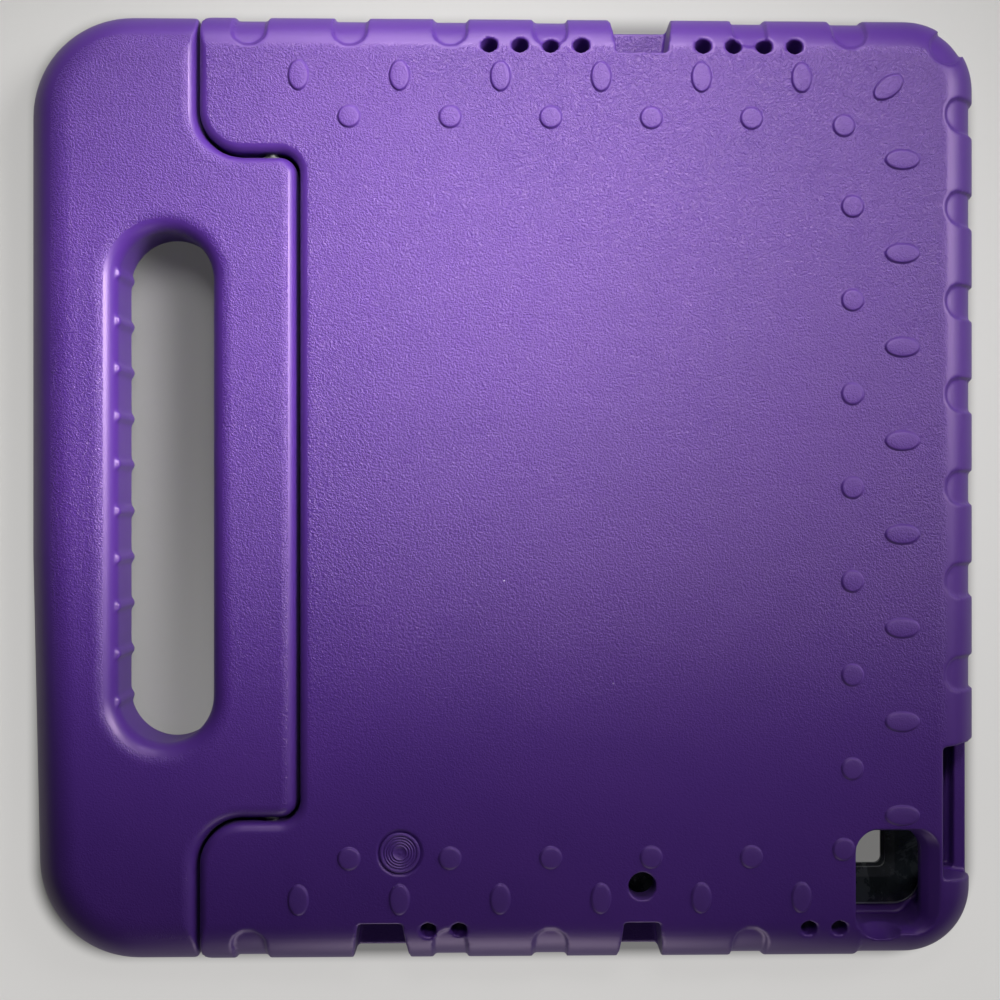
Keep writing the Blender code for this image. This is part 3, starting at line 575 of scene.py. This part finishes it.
def end_notch(x, side, width, mouth):
    inner = side * (POCKET_BOX[3] - OVERLAP)
    edge, outer = side * HALF_LENGTH, side * (HALF_LENGTH + OVER)
    outline = [(x - width / 2, inner), (x + width / 2, inner), (x + mouth / 2, edge),
               (x + mouth / 2, outer), (x - mouth / 2, outer), (x - mouth / 2, edge)]
    combine(shell, block("notch", [outline], FRONT_LIP, THICKNESS + OVER), "DIFFERENCE")
    low, high = sorted((side * (HALF_LENGTH - NOTCH_LIP), outer))
    lip = rectangle(x - mouth / 2, x + mouth / 2, low, high)
    combine(shell, block("notch", [lip], -OVER, FRONT_LIP + OVERLAP), "DIFFERENCE")


for notch in END_NOTCHES:
    end_notch(**notch)
print("end notches:", len(END_NOTCHES))

# %% [markdown]
# The long notch on the side is for the buttons. It is stepped: a deep well beside the
# tablet, and a sill outside it that the thumb rests on.

# %% Button slot
SLOT_ENDS = (-113.5 * MM, -75.5 * MM)
SLOT_SLANT = 1.5 * MM
SLOT_WELL = 7.2 * MM
SLOT_SILL = 9 * MM
SLOT_SET_IN = 1 * MM
well_x, beyond_x = POCKET_BOX[1] - OVERLAP, X_RIGHT + OVER
mouth_ends = (SLOT_ENDS[0] - SLOT_SLANT, SLOT_ENDS[1] + SLOT_SLANT)
button_slot = [(well_x, SLOT_ENDS[0]), (X_RIGHT, mouth_ends[0]), (beyond_x, mouth_ends[0]),
               (beyond_x, mouth_ends[1]), (X_RIGHT, mouth_ends[1]), (well_x, SLOT_ENDS[1])]
slot_cuts = [
    (button_slot, SLOT_SILL, THICKNESS + OVER),
    (rectangle(well_x, POCKET_BOX[1] + SLOT_WELL, *SLOT_ENDS), FRONT_LIP,
     SLOT_SILL + OVERLAP),
    (rectangle(X_RIGHT - SLOT_SET_IN, beyond_x, *mouth_ends), -OVER, SLOT_SILL + OVERLAP)]
for outline, low, high in slot_cuts:
    combine(shell, block("slot", [outline], low, high), "DIFFERENCE")
print("button slot:", round((SLOT_ENDS[1] - SLOT_ENDS[0]) / MM, 1), "mm long")

# %% [markdown]
# The camera window has a dish beside it, so that the foam stays out of the picture. The
# dish is the flared top of the same cutter: a loft from the window's outline to a wider
# one at the back face. A shallow scoop below the window follows the curve of a fingertip.

# %% Camera window
camera_low = (X_RIGHT - 37.0 * MM, -HALF_LENGTH + 10.1 * MM)
camera_high = (X_RIGHT - 17.1 * MM, -HALF_LENGTH + 38.6 * MM)


def window_outline(left, right, down, up):
    """The window grown by an amount on each side."""
    return rounded_outline([
        (camera_low[0] - left, camera_low[1] - down, 4.5 * MM + down),
        (camera_high[0] + right, camera_low[1] - down, 4.5 * MM + down),
        (camera_high[0] + right, camera_high[1] + up, 6 * MM + up),
        (camera_low[0] - left, camera_high[1] + up, 6 * MM + up)])


window = window_outline(0, 0, 0, 0)
combine(shell, loft("window", [
    (FRONT_LIP, window), (THICKNESS - 6 * MM, window),
    (THICKNESS - 3 * MM, window_outline(0.1 * MM, 1.6 * MM, 0.5 * MM, 0.1 * MM)),
    (THICKNESS, window_outline(0.5 * MM, 4.5 * MM, 2.5 * MM, 1 * MM)),
    (THICKNESS + OVER, window_outline(0.5 * MM, 4.5 * MM, 2.5 * MM, 1 * MM))]), "DIFFERENCE")
scoop_shape = bmesh.new()
bmesh.ops.create_uvsphere(
    scoop_shape, u_segments=48, v_segments=24, radius=1.0,
    matrix=Matrix.Translation((camera_low[0] + 7.8 * MM, camera_low[1] + 3.5 * MM, THICKNESS))
    @ Matrix.Diagonal((7.5 * MM, 6.8 * MM, 12 * MM, 1)))
combine(shell, object_from(scoop_shape, "scoop"), "DIFFERENCE")
print("camera window:", [round((b - a) / MM, 1) for a, b in zip(camera_low, camera_high)])

# %% [markdown]
# Round holes lead to the speakers and a microphone. The speaker holes start on the rounded
# edge and slant inward to the tablet's end, so their mouths look like short ovals.

# %% Speaker holes
SPEAKER_PITCH = 8.85 * MM
SPEAKER_RADIUS = 2.35 * MM
SPEAKER_TILT = math.radians(20)
SPEAKER_INSET = 10.6 * MM
SPEAKER_START = 17.6 * MM
LOWER_PAIRS = (-61.7 * MM, 48.4 * MM)


def speaker_hole(x, side):
    top = Vector((x, side * (HALF_LENGTH - SPEAKER_INSET), THICKNESS))
    way = Vector((0, -side * math.sin(SPEAKER_TILT), -math.cos(SPEAKER_TILT)))
    return rod("hole", top - way * 5 * MM, top + way * 14 * MM, SPEAKER_RADIUS)


holes = [speaker_hole(X_TABLET + side * (SPEAKER_START + step * SPEAKER_PITCH), 1)
         for side in (1, -1) for step in range(4)]
holes += [speaker_hole(X_TABLET + start + step * SPEAKER_PITCH, -1)
          for start in LOWER_PAIRS for step in range(2)]
microphone = (X_TABLET, -HALF_LENGTH + 23.5 * MM)
holes.append(rod("hole", (*microphone, POCKET_HIGH - 1 * MM),
                 (*microphone, THICKNESS + OVER), 4.0 * MM))
print("round holes:", len(holes))
combine(shell, merged("holes", holes), "DIFFERENCE")

# %% [markdown]
# The rounded edge has shallow scallops for grip. Each is a U-shaped fin, from which a
# slightly smaller copy of the whole shell has been taken away. What is left of the fins
# follows the rounding all the way down. The copy is a little lower too, so that each
# scallop ends in a visible step on the back. One more fin sets in the corner by the
# camera, with a copy of full height, because the back is level there.

# %% Scallops
SIDE_PITCH = 27.1 * MM
END_PITCH = 29.0 * MM
SCALLOP = {"width": 10 * MM, "reach": 11.3 * MM, "round": 4.75 * MM, "depth": 0.9 * MM,
           "end_depth": 0.5 * MM, "floor": 5.5 * MM}
CORNER_STEP = (X_RIGHT - 35.7 * MM, SLOT_ENDS[0])
CORNER_PROUD = 0.05 * MM
columns = [X_RIGHT - 67.8 * MM - END_PITCH * step for step in range(-1, 6)]
corner_reach = CORNER_RADIUS * (1 - math.cos(math.pi / 4))
scallop_places = [((X_RIGHT, step * SIDE_PITCH), math.pi) for step in range(-2, 5)]
scallop_places += [((columns[i], HALF_LENGTH), -math.pi / 2) for i in (0, 1, 3, 4, 5, 6)]
scallop_places += [((columns[i], -HALF_LENGTH), math.pi / 2) for i in (1, 3, 4, 6)]
scallop_places.append(((X_RIGHT - corner_reach, HALF_LENGTH - corner_reach),
                       -3 * math.pi / 4))


def scallop_fin(place, turn):
    half = SCALLOP["width"] / 2
    outline = rounded_outline([
        (-OVER, -half, 0), (SCALLOP["reach"], -half, SCALLOP["round"]),
        (SCALLOP["reach"], half, SCALLOP["round"]), (-OVER, half, 0)])
    fin = block("fin", [outline], SCALLOP["floor"], THICKNESS + OVER)
    fin.data.transform(Matrix.Translation((*place, 0)) @ Matrix.Rotation(turn, 4, "Z"))
    return fin


fins = merged("fins", [scallop_fin(*place) for place in scallop_places])
combine(fins, shell_block(SCALLOP["depth"], THICKNESS - SCALLOP["end_depth"],
                          ROUND_SEGMENTS), "DIFFERENCE")
combine(shell, fins, "DIFFERENCE")
corner = block("corner", [rectangle(CORNER_STEP[0], X_RIGHT + OVER, -HALF_LENGTH - OVER,
                                    CORNER_STEP[1])], SCALLOP["floor"], THICKNESS + OVER)
combine(corner, shell_block(SCALLOP["depth"], THICKNESS + CORNER_PROUD, ROUND_SEGMENTS),
        "DIFFERENCE")
combine(shell, corner, "DIFFERENCE")
print("scallops:", len(scallop_places))

# %% [markdown]
# The mould left a round disc on the back. The shell gets a shallow round recess here, and
# the disc that fills it comes further down as a turned piece with fine rings, because a
# remesh would wipe rings this fine away.

# %% Recess for the disc
DISC_PLACE = (X_SEAM_WALL + 28.9 * MM, 33.4 * MM - HALF_LENGTH)
DISC_RADIUS = 5.8 * MM
DISC_GROOVE = 0.75 * MM
DISC_DEPTH = 0.9 * MM
combine(shell, rod("recess", (*DISC_PLACE, THICKNESS - DISC_DEPTH),
                   (*DISC_PLACE, THICKNESS + OVER), DISC_RADIUS + DISC_GROOVE, 96),
        "DIFFERENCE")
shell = foam_skin(shell, 0.52 * MM, 2, 190000)

# %% [markdown]
# Raised pebbles run along three sides: long ones near the edge, round ones further in. They
# are low and nearly flat on top, with a rounded edge. Each is a short loft of ovals, and
# its root lies inside the shell.

# %% Pebbles
OVAL = (9.8 * MM, 5.6 * MM)
END_OVAL = (8.5 * MM, 5.6 * MM)
DOT = (6.2 * MM, 6.2 * MM)
SIDE_ROWS = {"ovals": 24 * MM, "dots": 38.5 * MM}
END_ROWS = {"ovals": 20.1 * MM, "dots": 31.9 * MM}
CORNER_DOT = (41 * MM, 33.9 * MM)
CORNER_OVAL = (28.1 * MM, 22.7 * MM)
CORNER_OVAL_TURN = math.radians(38)
PEBBLE_PROFILE = [(-0.4, -0.5), (0.0, -0.3), (0.08, -0.1), (0.28, 0.02), (0.48, 0.1),
                  (0.6, 0.25), (0.67, 0.5), (0.71, 0.9), (0.75, 1.5), (0.77, 2.2)]


def pebble(x, y, size, turn=0.0):
    piece = loft("pebble", [(height * MM, oval(size[0] - 2 * inset * MM,
                                               size[1] - 2 * inset * MM))
                            for height, inset in PEBBLE_PROFILE])
    piece.data.transform(Matrix.Translation((x, y, THICKNESS)) @ Matrix.Rotation(turn, 4, "Z"))
    return piece


def all_pebbles():
    pieces = [pebble(X_RIGHT - SIDE_ROWS["ovals"], (step + 0.5) * SIDE_PITCH, OVAL)
              for step in range(-4, 4)]
    pieces += [pebble(X_RIGHT - SIDE_ROWS["dots"], step * SIDE_PITCH, DOT)
               for step in range(-3, 4)]
    for side in (1, -1):
        for x in columns[1:6]:
            pieces.append(pebble(x, side * (HALF_LENGTH - END_ROWS["dots"]), DOT))
        for x in [columns[1] + END_PITCH / 2] + [x - END_PITCH / 2 for x in columns[1:6]]:
            pieces.append(pebble(x, side * (HALF_LENGTH - END_ROWS["ovals"]), END_OVAL,
                                 math.pi / 2))
        pieces.append(pebble(X_RIGHT - CORNER_DOT[0], side * (HALF_LENGTH - CORNER_DOT[1]),
                             DOT))
    pieces.append(pebble(X_RIGHT - CORNER_OVAL[0], HALF_LENGTH - CORNER_OVAL[1], OVAL,
                         CORNER_OVAL_TURN))
    return pieces


pebble_pieces = all_pebbles()
print("pebbles:", len(pebble_pieces))
pebbles = merged("foam_pebbles", pebble_pieces)
pebbles.data.shade_smooth()

# %% [markdown]
# The disc is turned like a button on a lathe: a raised rim, four fine rings, and a bare
# middle.

# %% Moulded disc
RING_PITCH = 0.77 * MM
disc_profile = [(DISC_RADIUS, -DISC_DEPTH - OVERLAP), (DISC_RADIUS, -0.1 * MM),
                (DISC_RADIUS - 0.12 * MM, 0.12 * MM), (DISC_RADIUS - 0.35 * MM, 0.2 * MM),
                (DISC_RADIUS - 0.7 * MM, 0.2 * MM), (DISC_RADIUS - 0.9 * MM, 0.02 * MM),
                (DISC_RADIUS - 1.0 * MM, -0.24 * MM)]
for ring in range(4):
    start = DISC_RADIUS - 1.0 * MM - ring * RING_PITCH
    disc_profile += [(start - 0.18 * MM, -0.28 * MM), (start - 0.34 * MM, 0.02 * MM),
                     (start - 0.46 * MM, 0.06 * MM), (start - 0.58 * MM, 0.02 * MM),
                     (start - 0.74 * MM, -0.26 * MM)]
disc_profile.append((0.4 * MM, -0.1 * MM))
disc = turned("moulded_disc", (*DISC_PLACE, THICKNESS), disc_profile)
disc.data.shade_smooth()
print("disc:", triangles(disc), "triangles")

# %% [markdown]
# ## The handle
# The handle is made like the shell: a block with a very wide rounding, and the seam's
# outline on the other side. Its hand slot flares out softly at both faces, and ten ribs on
# the outer wall of the slot give the fingers a hold.

# %% Handle
HANDLE_ROUND = 15 * MM
HANDLE_FRONT_ROUND = 6 * MM
HANDLE_CORNER = 30 * MM
HANDLE_LEAN = {"inward": 2.6 * MM, "start": -20 * MM}
x_far = X_TONGUE_END + HANDLE_ROUND + OVER
handle = block("foam_handle", [rounded_outline([
    (X_LEFT + HANDLE_LEAN["inward"], -HALF_LENGTH, HANDLE_CORNER), (x_far, -HALF_LENGTH, 0),
    (x_far, HALF_LENGTH, 0), (X_LEFT, HALF_LENGTH, HANDLE_CORNER),
    (X_LEFT, HANDLE_LEAN["start"], 0)])], 0.0, THICKNESS)
round_rim(handle, THICKNESS, HANDLE_ROUND, ROUND_SEGMENTS)
round_rim(handle, 0.0, HANDLE_FRONT_ROUND, 10)
handle_corners = [
    (X_HANDLE_FACE - SEAM_MOUTH, HALF_LENGTH + OVER, 0),
    (X_HANDLE_FACE - SEAM_MOUTH, HALF_LENGTH + MOUTH_OVERRUN, 0),
    (X_HANDLE_FACE, HALF_LENGTH + MOUTH_OVERRUN, SEAM_MOUTH_ROUND),
    (X_HANDLE_FACE, TONGUE_HALF, EAR_CORNER + (SEAM_GAP + TONGUE_GAP) / 2),
    (X_TONGUE_END, TONGUE_HALF, TONGUE_CORNER)]
combine(handle, seam_block(handle_corners, X_LEFT - OVER, TONGUE_ROUND,
                           lambda x: x > X_LEFT), "INTERSECT")
print("handle block:", triangles(handle), "triangles")

# %% Hand slot
SLOT = (X_LEFT + 26.9 * MM, X_LEFT + 54.3 * MM, -74 * MM, 74 * MM)
SLOT_END = (SLOT[1] - SLOT[0]) / 2 - FINE
SLOT_BACK_ROUND, SLOT_FRONT_ROUND = 6 * MM, 4 * MM
RIBS = {"count": 10, "pitch": 13.75 * MM, "radius": 1.5 * MM, "stand": 1 * MM}


def slot_section(height, spread):
    return height, rectangle(SLOT[0] - spread, SLOT[1] + spread, SLOT[2] - spread,
                             SLOT[3] + spread, SLOT_END + spread)


def slot_sections():
    sections = [slot_section(-OVER, SLOT_FRONT_ROUND)]
    for step in range(9):
        angle = math.pi / 2 * step / 8
        sections.append(slot_section(SLOT_FRONT_ROUND * (1 - math.cos(angle)),
                                     SLOT_FRONT_ROUND * (1 - math.sin(angle))))
    for step in range(9):
        angle = math.pi / 2 * step / 8
        sections.append(slot_section(THICKNESS - SLOT_BACK_ROUND * (1 - math.sin(angle)),
                                     SLOT_BACK_ROUND * (1 - math.cos(angle))))
    return sections + [slot_section(THICKNESS + OVER, SLOT_BACK_ROUND)]


def grip_rib(number):
    x = SLOT[0] + RIBS["stand"] - RIBS["radius"]
    y = (number - (RIBS["count"] - 1) / 2) * RIBS["pitch"]
    return rod("rib", (x, y, 2.4 * MM), (x, y, THICKNESS - 3.6 * MM), RIBS["radius"])


combine(handle, loft("slot", slot_sections()), "DIFFERENCE")
handle = merged("with_ribs", [handle] + [grip_rib(n) for n in range(RIBS["count"])])
handle.name = "foam_handle"
handle = foam_skin(handle, 0.6 * MM, 3, 120000)

# %% [markdown]
# ## The screen frame
# A thin black frame lies inside the pocket, and the camera window shows one of its corners.
# Its outer edge is chamfered and catches the light, and a narrow step runs round the
# window. A fine bevel on all edges makes it read as moulded plastic.

# %% Screen frame
FRAME_BAR = (12.2 * MM, 12.6 * MM)
WINDOW_CORNER = 2 * MM
STEP = {"width": 1.1 * MM, "depth": 0.5 * MM}
FRAME_RIM = 1.3 * MM


def frame_outline(side, end, radius):
    return rectangle(screen_low.x + side, screen_high.x - side, screen_low.y + end,
                     screen_high.y - end, radius)


bezel = block("screen_bezel", [frame_outline(0, 0, TABLET_CORNER - SEAT_GAP)],
              screen_low.z, screen_high.z)
round_rim(bezel, screen_high.z, FRAME_RIM, 6)
combine(bezel, block("step", [frame_outline(FRAME_BAR[0] - STEP["width"],
                                            FRAME_BAR[1] - STEP["width"], WINDOW_CORNER)],
                     screen_high.z - STEP["depth"], screen_high.z + OVER), "DIFFERENCE")
combine(bezel, block("hole", [frame_outline(*FRAME_BAR, WINDOW_CORNER)], -OVER,
                     screen_high.z + OVER), "DIFFERENCE")
rims = bezel.modifiers.new("rims", "BEVEL")
rims.width = 0.3 * MM
rims.segments = 3
rims.limit_method = "ANGLE"
rims.angle_limit = math.radians(40)
apply_modifiers(bezel)
bezel.data.shade_smooth()
bezel.data.set_sharp_from_angle(angle=math.radians(40))
print("screen bezel:", triangles(bezel), "triangles")

# %% [markdown]
# ## The finish
# Every effect that two materials share is a node group. This helper makes an empty group
# with its sockets, so that the groups below stay short.

# %% Groups
def group_with(name, inputs, outputs):
    group = bpy.data.node_groups.new(name, "ShaderNodeTree")
    for label, value in inputs:
        socket = group.interface.new_socket(label, in_out="INPUT",
                                            socket_type="NodeSocketFloat")
        socket.default_value = value
    for label in outputs:
        group.interface.new_socket(label, in_out="OUTPUT", socket_type="NodeSocketFloat")
    return group, group.nodes.new("NodeGroupInput"), group.nodes.new("NodeGroupOutput")


def texture(tree, kind, scale, where=None, **inputs):
    """A texture node at a scale in cells per metre, on the object's own coordinates."""
    made = node_in(tree, kind)
    if isinstance(scale, (int, float)):
        made.inputs["Scale"].default_value = scale
    else:
        tree.links.new(scale, made.inputs["Scale"])
    if where is None:
        where = node_in(tree, "ShaderNodeTexCoord").outputs["Object"]
    tree.links.new(where, made.inputs["Vector"])
    for label, value in inputs.items():
        made.inputs[label].default_value = value
    return made


# %% [markdown]
# Foam like this has a fine leather grain on its flat back, and is smooth where the mould
# was polished, on the roundings and in the scallops. The grain is small domed cells, bent
# out of line by a slower noise so that they read as leather and not as a honeycomb. It
# fades towards the case's lower end, which looks smooth in the photograph. That may be the
# dim light there, so the fade is a guess. The group also puts out the mask of where the
# grain is.

# %% Leather grain
GRAIN_FADE = {"from": 20 * MM, "to": -100 * MM, "left": 0.3}
GRAIN_BEND = {"scale": 700.0, "push": 0.0011}
CRUMB_FINENESS = 2.1
CELL_DOME = -0.8
MASK_STEEPNESS = 40.0


def leather_grain():
    group, given, result = group_with(
        "leather_grain", [("Cells Per Metre", 900.0), ("Face Up From", 0.965)],
        ["Height", "Mask"])
    place = node_in(group, "ShaderNodeTexCoord").outputs["Object"]
    bend = texture(group, "ShaderNodeTexNoise", GRAIN_BEND["scale"], place, Detail=2.0)
    push = node_in(group, "ShaderNodeVectorMath", operation="MULTIPLY_ADD")
    group.links.new(bend.outputs["Color"], push.inputs[0])
    push.inputs[1].default_value = (GRAIN_BEND["push"],) * 3
    group.links.new(place, push.inputs[2])
    cells = texture(group, "ShaderNodeTexVoronoi", given.outputs["Cells Per Metre"],
                    push.outputs[0], Randomness=1.0)
    cells.feature = "F1"
    finer = calc(group, "MULTIPLY", given.outputs["Cells Per Metre"], CRUMB_FINENESS)
    crumbs = texture(group, "ShaderNodeTexNoise", finer, push.outputs[0], Detail=2.0)
    dome = calc(group, "MULTIPLY", cells.outputs["Distance"], CELL_DOME)
    height = calc(group, "ADD", dome, crumbs.outputs["Fac"])
    surface = node_in(group, "ShaderNodeNewGeometry")
    split = node_in(group, "ShaderNodeSeparateXYZ")
    group.links.new(surface.outputs["Normal"], split.inputs[0])
    level = calc(group, "SUBTRACT", split.outputs["Z"], given.outputs["Face Up From"])
    mask = calc(group, "MULTIPLY", level, MASK_STEEPNESS, clamp=True)
    along = node_in(group, "ShaderNodeSeparateXYZ")
    group.links.new(place, along.inputs[0])
    polished = ramp(group, along.outputs["Y"], GRAIN_FADE["from"], GRAIN_FADE["to"],
                    1.0, GRAIN_FADE["left"])
    height = calc(group, "MULTIPLY", calc(group, "MULTIPLY", height, mask), polished)
    group.links.new(height, result.inputs["Height"])
    group.links.new(mask, result.inputs["Mask"])
    return group


GRAIN = leather_grain()
print("grain group has", len(GRAIN.nodes), "nodes")

# %% [markdown]
# A used case isn't one even colour. Hands polish the convex edges a little lighter, slow
# clouds of tone come from the foaming, and a few specks of lint stick to it. Pointiness
# tells how convex a place of the mesh is, so it finds the edges.

# %% Foam wear
WEAR_PATCHES = 160.0
CLOUD_SCALE = 22.0
LINT_SPECKS = {"scale": 95.0, "size": 0.022, "rare": 0.93}


def foam_wear():
    group, given, result = group_with("foam_wear", [("Edge From", 0.515), ("Edge To", 0.6)],
                                      ["Edges", "Clouds", "Lint"])
    surface = node_in(group, "ShaderNodeNewGeometry")
    edge = calc(group, "SUBTRACT", surface.outputs["Pointiness"], given.outputs["Edge From"])
    reach = calc(group, "SUBTRACT", given.outputs["Edge To"], given.outputs["Edge From"])
    edge = calc(group, "DIVIDE", edge, reach, clamp=True)
    patchy = texture(group, "ShaderNodeTexNoise", WEAR_PATCHES, Detail=3.0)
    edge = calc(group, "MULTIPLY", edge, ramp(group, patchy.outputs["Fac"], 0.3, 0.65))
    clouds = texture(group, "ShaderNodeTexNoise", CLOUD_SCALE, Detail=4.0, Roughness=0.6)
    dots = texture(group, "ShaderNodeTexVoronoi", LINT_SPECKS["scale"], Randomness=1.0)
    near = calc(group, "LESS_THAN", dots.outputs["Distance"], LINT_SPECKS["size"])
    pick = node_in(group, "ShaderNodeSeparateColor")
    group.links.new(dots.outputs["Color"], pick.inputs[0])
    few = calc(group, "GREATER_THAN", pick.outputs[0], LINT_SPECKS["rare"])
    group.links.new(edge, result.inputs["Edges"])
    group.links.new(ramp(group, clouds.outputs["Fac"], 0.3, 0.7), result.inputs["Clouds"])
    group.links.new(calc(group, "MULTIPLY", near, few), result.inputs["Lint"])
    return group


WEAR = foam_wear()
print("wear group has", len(WEAR.nodes), "nodes")

# %% [markdown]
# The foams use the two groups with their own values. The handle's grain is a little
# shallower and finer, and the pebbles and the disc have about half as much. A strong, tinted
# specular gives the lilac haze where the lamps are mirrored, and a little sheen gives the
# dusty look that foam has where it is seen at a slant.

# %% Foam materials
FOAM_COLOUR = (0.076, 0.0225, 0.225, 1)
FOAM_DEEP = (0.066, 0.0195, 0.208, 1)
FOAM_WORN = (0.14, 0.06, 0.32, 1)
HAZE_TINT = (1.0, 0.76, 1.0, 1)
HAZE_LEVEL = 0.8
SHEEN = {"weight": 0.02, "roughness": 0.45}
WORN_SHARE = 0.35
LINT_COLOUR = (0.45, 0.4, 0.55, 1)


def colour_mix(tree, factor, first, second):
    made = node_in(tree, "ShaderNodeMix", data_type="RGBA")
    sockets = [socket for socket in made.inputs if socket.enabled]
    for socket, value in zip(sockets, (factor, first, second)):
        if isinstance(value, (int, float, tuple)):
            socket.default_value = value
        else:
            tree.links.new(value, socket)
    return next(socket for socket in made.outputs if socket.enabled)


def foam_material(name, cells, depth, face_up, polished, grained):
    paint = bpy.data.materials.new(name)
    paint.use_nodes = True
    tree = paint.node_tree
    shader = tree.nodes["Principled BSDF"]
    grain = node_in(tree, "ShaderNodeGroup", node_tree=GRAIN)
    grain.inputs["Cells Per Metre"].default_value = cells
    grain.inputs["Face Up From"].default_value = face_up
    wear = node_in(tree, "ShaderNodeGroup", node_tree=WEAR)
    colour = colour_mix(tree, wear.outputs["Clouds"], FOAM_DEEP, FOAM_COLOUR)
    worn = calc(tree, "MULTIPLY", wear.outputs["Edges"], WORN_SHARE)
    colour = colour_mix(tree, worn, colour, FOAM_WORN)
    colour = colour_mix(tree, wear.outputs["Lint"], colour, LINT_COLOUR)
    tree.links.new(colour, shader.inputs["Base Color"])
    bump = node_in(tree, "ShaderNodeBump")
    bump.inputs["Strength"].default_value = 1.0
    bump.inputs["Distance"].default_value = depth
    tree.links.new(grain.outputs["Height"], bump.inputs["Height"])
    tree.links.new(bump.outputs["Normal"], shader.inputs["Normal"])
    spread = calc(tree, "MULTIPLY", grain.outputs["Mask"], grained - polished)
    roughness = calc(tree, "ADD", spread, polished)
    tree.links.new(roughness, shader.inputs["Roughness"])
    shader.inputs["Specular IOR Level"].default_value = HAZE_LEVEL
    shader.inputs["Specular Tint"].default_value = HAZE_TINT
    shader.inputs["Sheen Weight"].default_value = SHEEN["weight"]
    shader.inputs["Sheen Roughness"].default_value = SHEEN["roughness"]
    return paint


shell_foam = foam_material("shell_foam", 1600.0, 0.22 * MM, 0.965, 0.42, 0.35)
smooth_foam = foam_material("smooth_foam", 1600.0, 0.12 * MM, 0.965, 0.52, 0.52)
handle_foam = foam_material("handle_foam", 1700.0, 0.2 * MM, 0.88, 0.42, 0.38)
for piece, paint in ((shell, shell_foam), (pebbles, smooth_foam), (disc, smooth_foam),
                     (handle, handle_foam)):
    piece.data.materials.append(paint)
print("foam materials:", shell_foam.name, smooth_foam.name, handle_foam.name)

# %% [markdown]
# The hard pieces are moulded plastic. Its marks are smears left by fingers, which change
# the gloss and hardly the colour, and a very fine mould texture. Slanted edges are painted
# a paler tone, a painted highlight that stands in for the light that their bevels catch.

# %% Plastic marks
def plastic_marks():
    group, given, result = group_with("plastic_marks", [("Smears Per Metre", 90.0)],
                                      ["Smears", "Texture", "Slant Highlight"])
    surface = node_in(group, "ShaderNodeNewGeometry")
    split = node_in(group, "ShaderNodeSeparateXYZ")
    group.links.new(surface.outputs["Normal"], split.inputs[0])
    tilt = calc(group, "ABSOLUTE", split.outputs["Z"])
    # Slanted faces are where the painted edge highlight goes.
    slanted = calc(group, "MULTIPLY", ramp(group, tilt, 0.97, 0.85),
                   ramp(group, tilt, 0.15, 0.4))
    group.links.new(slanted, result.inputs["Slant Highlight"])
    smears = texture(group, "ShaderNodeTexNoise", given.outputs["Smears Per Metre"],
                     Detail=5.0, Roughness=0.65, Distortion=1.4)
    fine = texture(group, "ShaderNodeTexNoise", 4000.0, Detail=1.0)
    group.links.new(ramp(group, smears.outputs["Fac"], 0.42, 0.68), result.inputs["Smears"])
    group.links.new(fine.outputs["Fac"], result.inputs["Texture"])
    return group


MARKS = plastic_marks()


def plastic_material(name, clean, smeared, slant_highlight, roughness, smeared_roughness, depth):
    paint = bpy.data.materials.new(name)
    paint.use_nodes = True
    tree = paint.node_tree
    shader = tree.nodes["Principled BSDF"]
    marks = node_in(tree, "ShaderNodeGroup", node_tree=MARKS)
    colour = colour_mix(tree, marks.outputs["Smears"], (*clean, 1), (*smeared, 1))
    colour = colour_mix(tree, marks.outputs["Slant Highlight"], colour, (*slant_highlight, 1))
    tree.links.new(colour, shader.inputs["Base Color"])
    rough = ramp(tree, marks.outputs["Smears"], 0.0, 1.0, roughness, smeared_roughness)
    tree.links.new(rough, shader.inputs["Roughness"])
    bump = node_in(tree, "ShaderNodeBump")
    bump.inputs["Distance"].default_value = depth
    tree.links.new(marks.outputs["Texture"], bump.inputs["Height"])
    tree.links.new(bump.outputs["Normal"], shader.inputs["Normal"])
    return paint


def dress(node_name, paint):
    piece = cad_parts[node_name]
    piece.data.materials.clear()
    piece.data.materials.append(paint)


# The third colour of each plastic is its painted edge highlight; on the black frame it is far
# paler than the plastic.
black = plastic_material("black_plastic", (0.011, 0.014, 0.017), (0.028, 0.034, 0.04),
                         (0.34, 0.36, 0.35), 0.16, 0.42, 0.002 * MM)
dark = plastic_material("pin_plastic", (0.02, 0.02, 0.023), (0.03, 0.03, 0.033),
                        (0.05, 0.05, 0.055), 0.35, 0.5, 0.004 * MM)
grey = plastic_material("grey_plastic", (0.03, 0.03, 0.033), (0.04, 0.04, 0.043),
                        (0.05, 0.05, 0.055), 0.55, 0.65, 0.006 * MM)
film = plastic_material("clear_film", (0.35, 0.36, 0.38), (0.45, 0.46, 0.48),
                        (0.45, 0.46, 0.48), 0.06, 0.2, 0.0005 * MM)
film.node_tree.nodes["Principled BSDF"].inputs["Alpha"].default_value = 0.03
bezel.data.materials.append(black)
dress("screen_film", film)
for word in ("upper", "lower"):
    dress("hinge_pin_" + word, dark)
    dress("ear_bush_" + word, grey)
    dress("handle_sleeve_" + word, grey)
print("dressed the small pieces")

# %% [markdown]
# Last, each piece is tied to the body that it moves with, and the CAD nodes that the pieces
# stand for are hidden.

# %% Bodies
for piece, body, finish in ((shell, "case", "shell_foam"), (pebbles, "case", "shell_foam"),
                            (disc, "case", "shell_foam"), (bezel, "case", "black_plastic"),
                            (handle, "handle", "handle_foam")):
    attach(piece, body)
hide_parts("case_shell")
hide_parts("screen_frame")
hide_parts("handle")
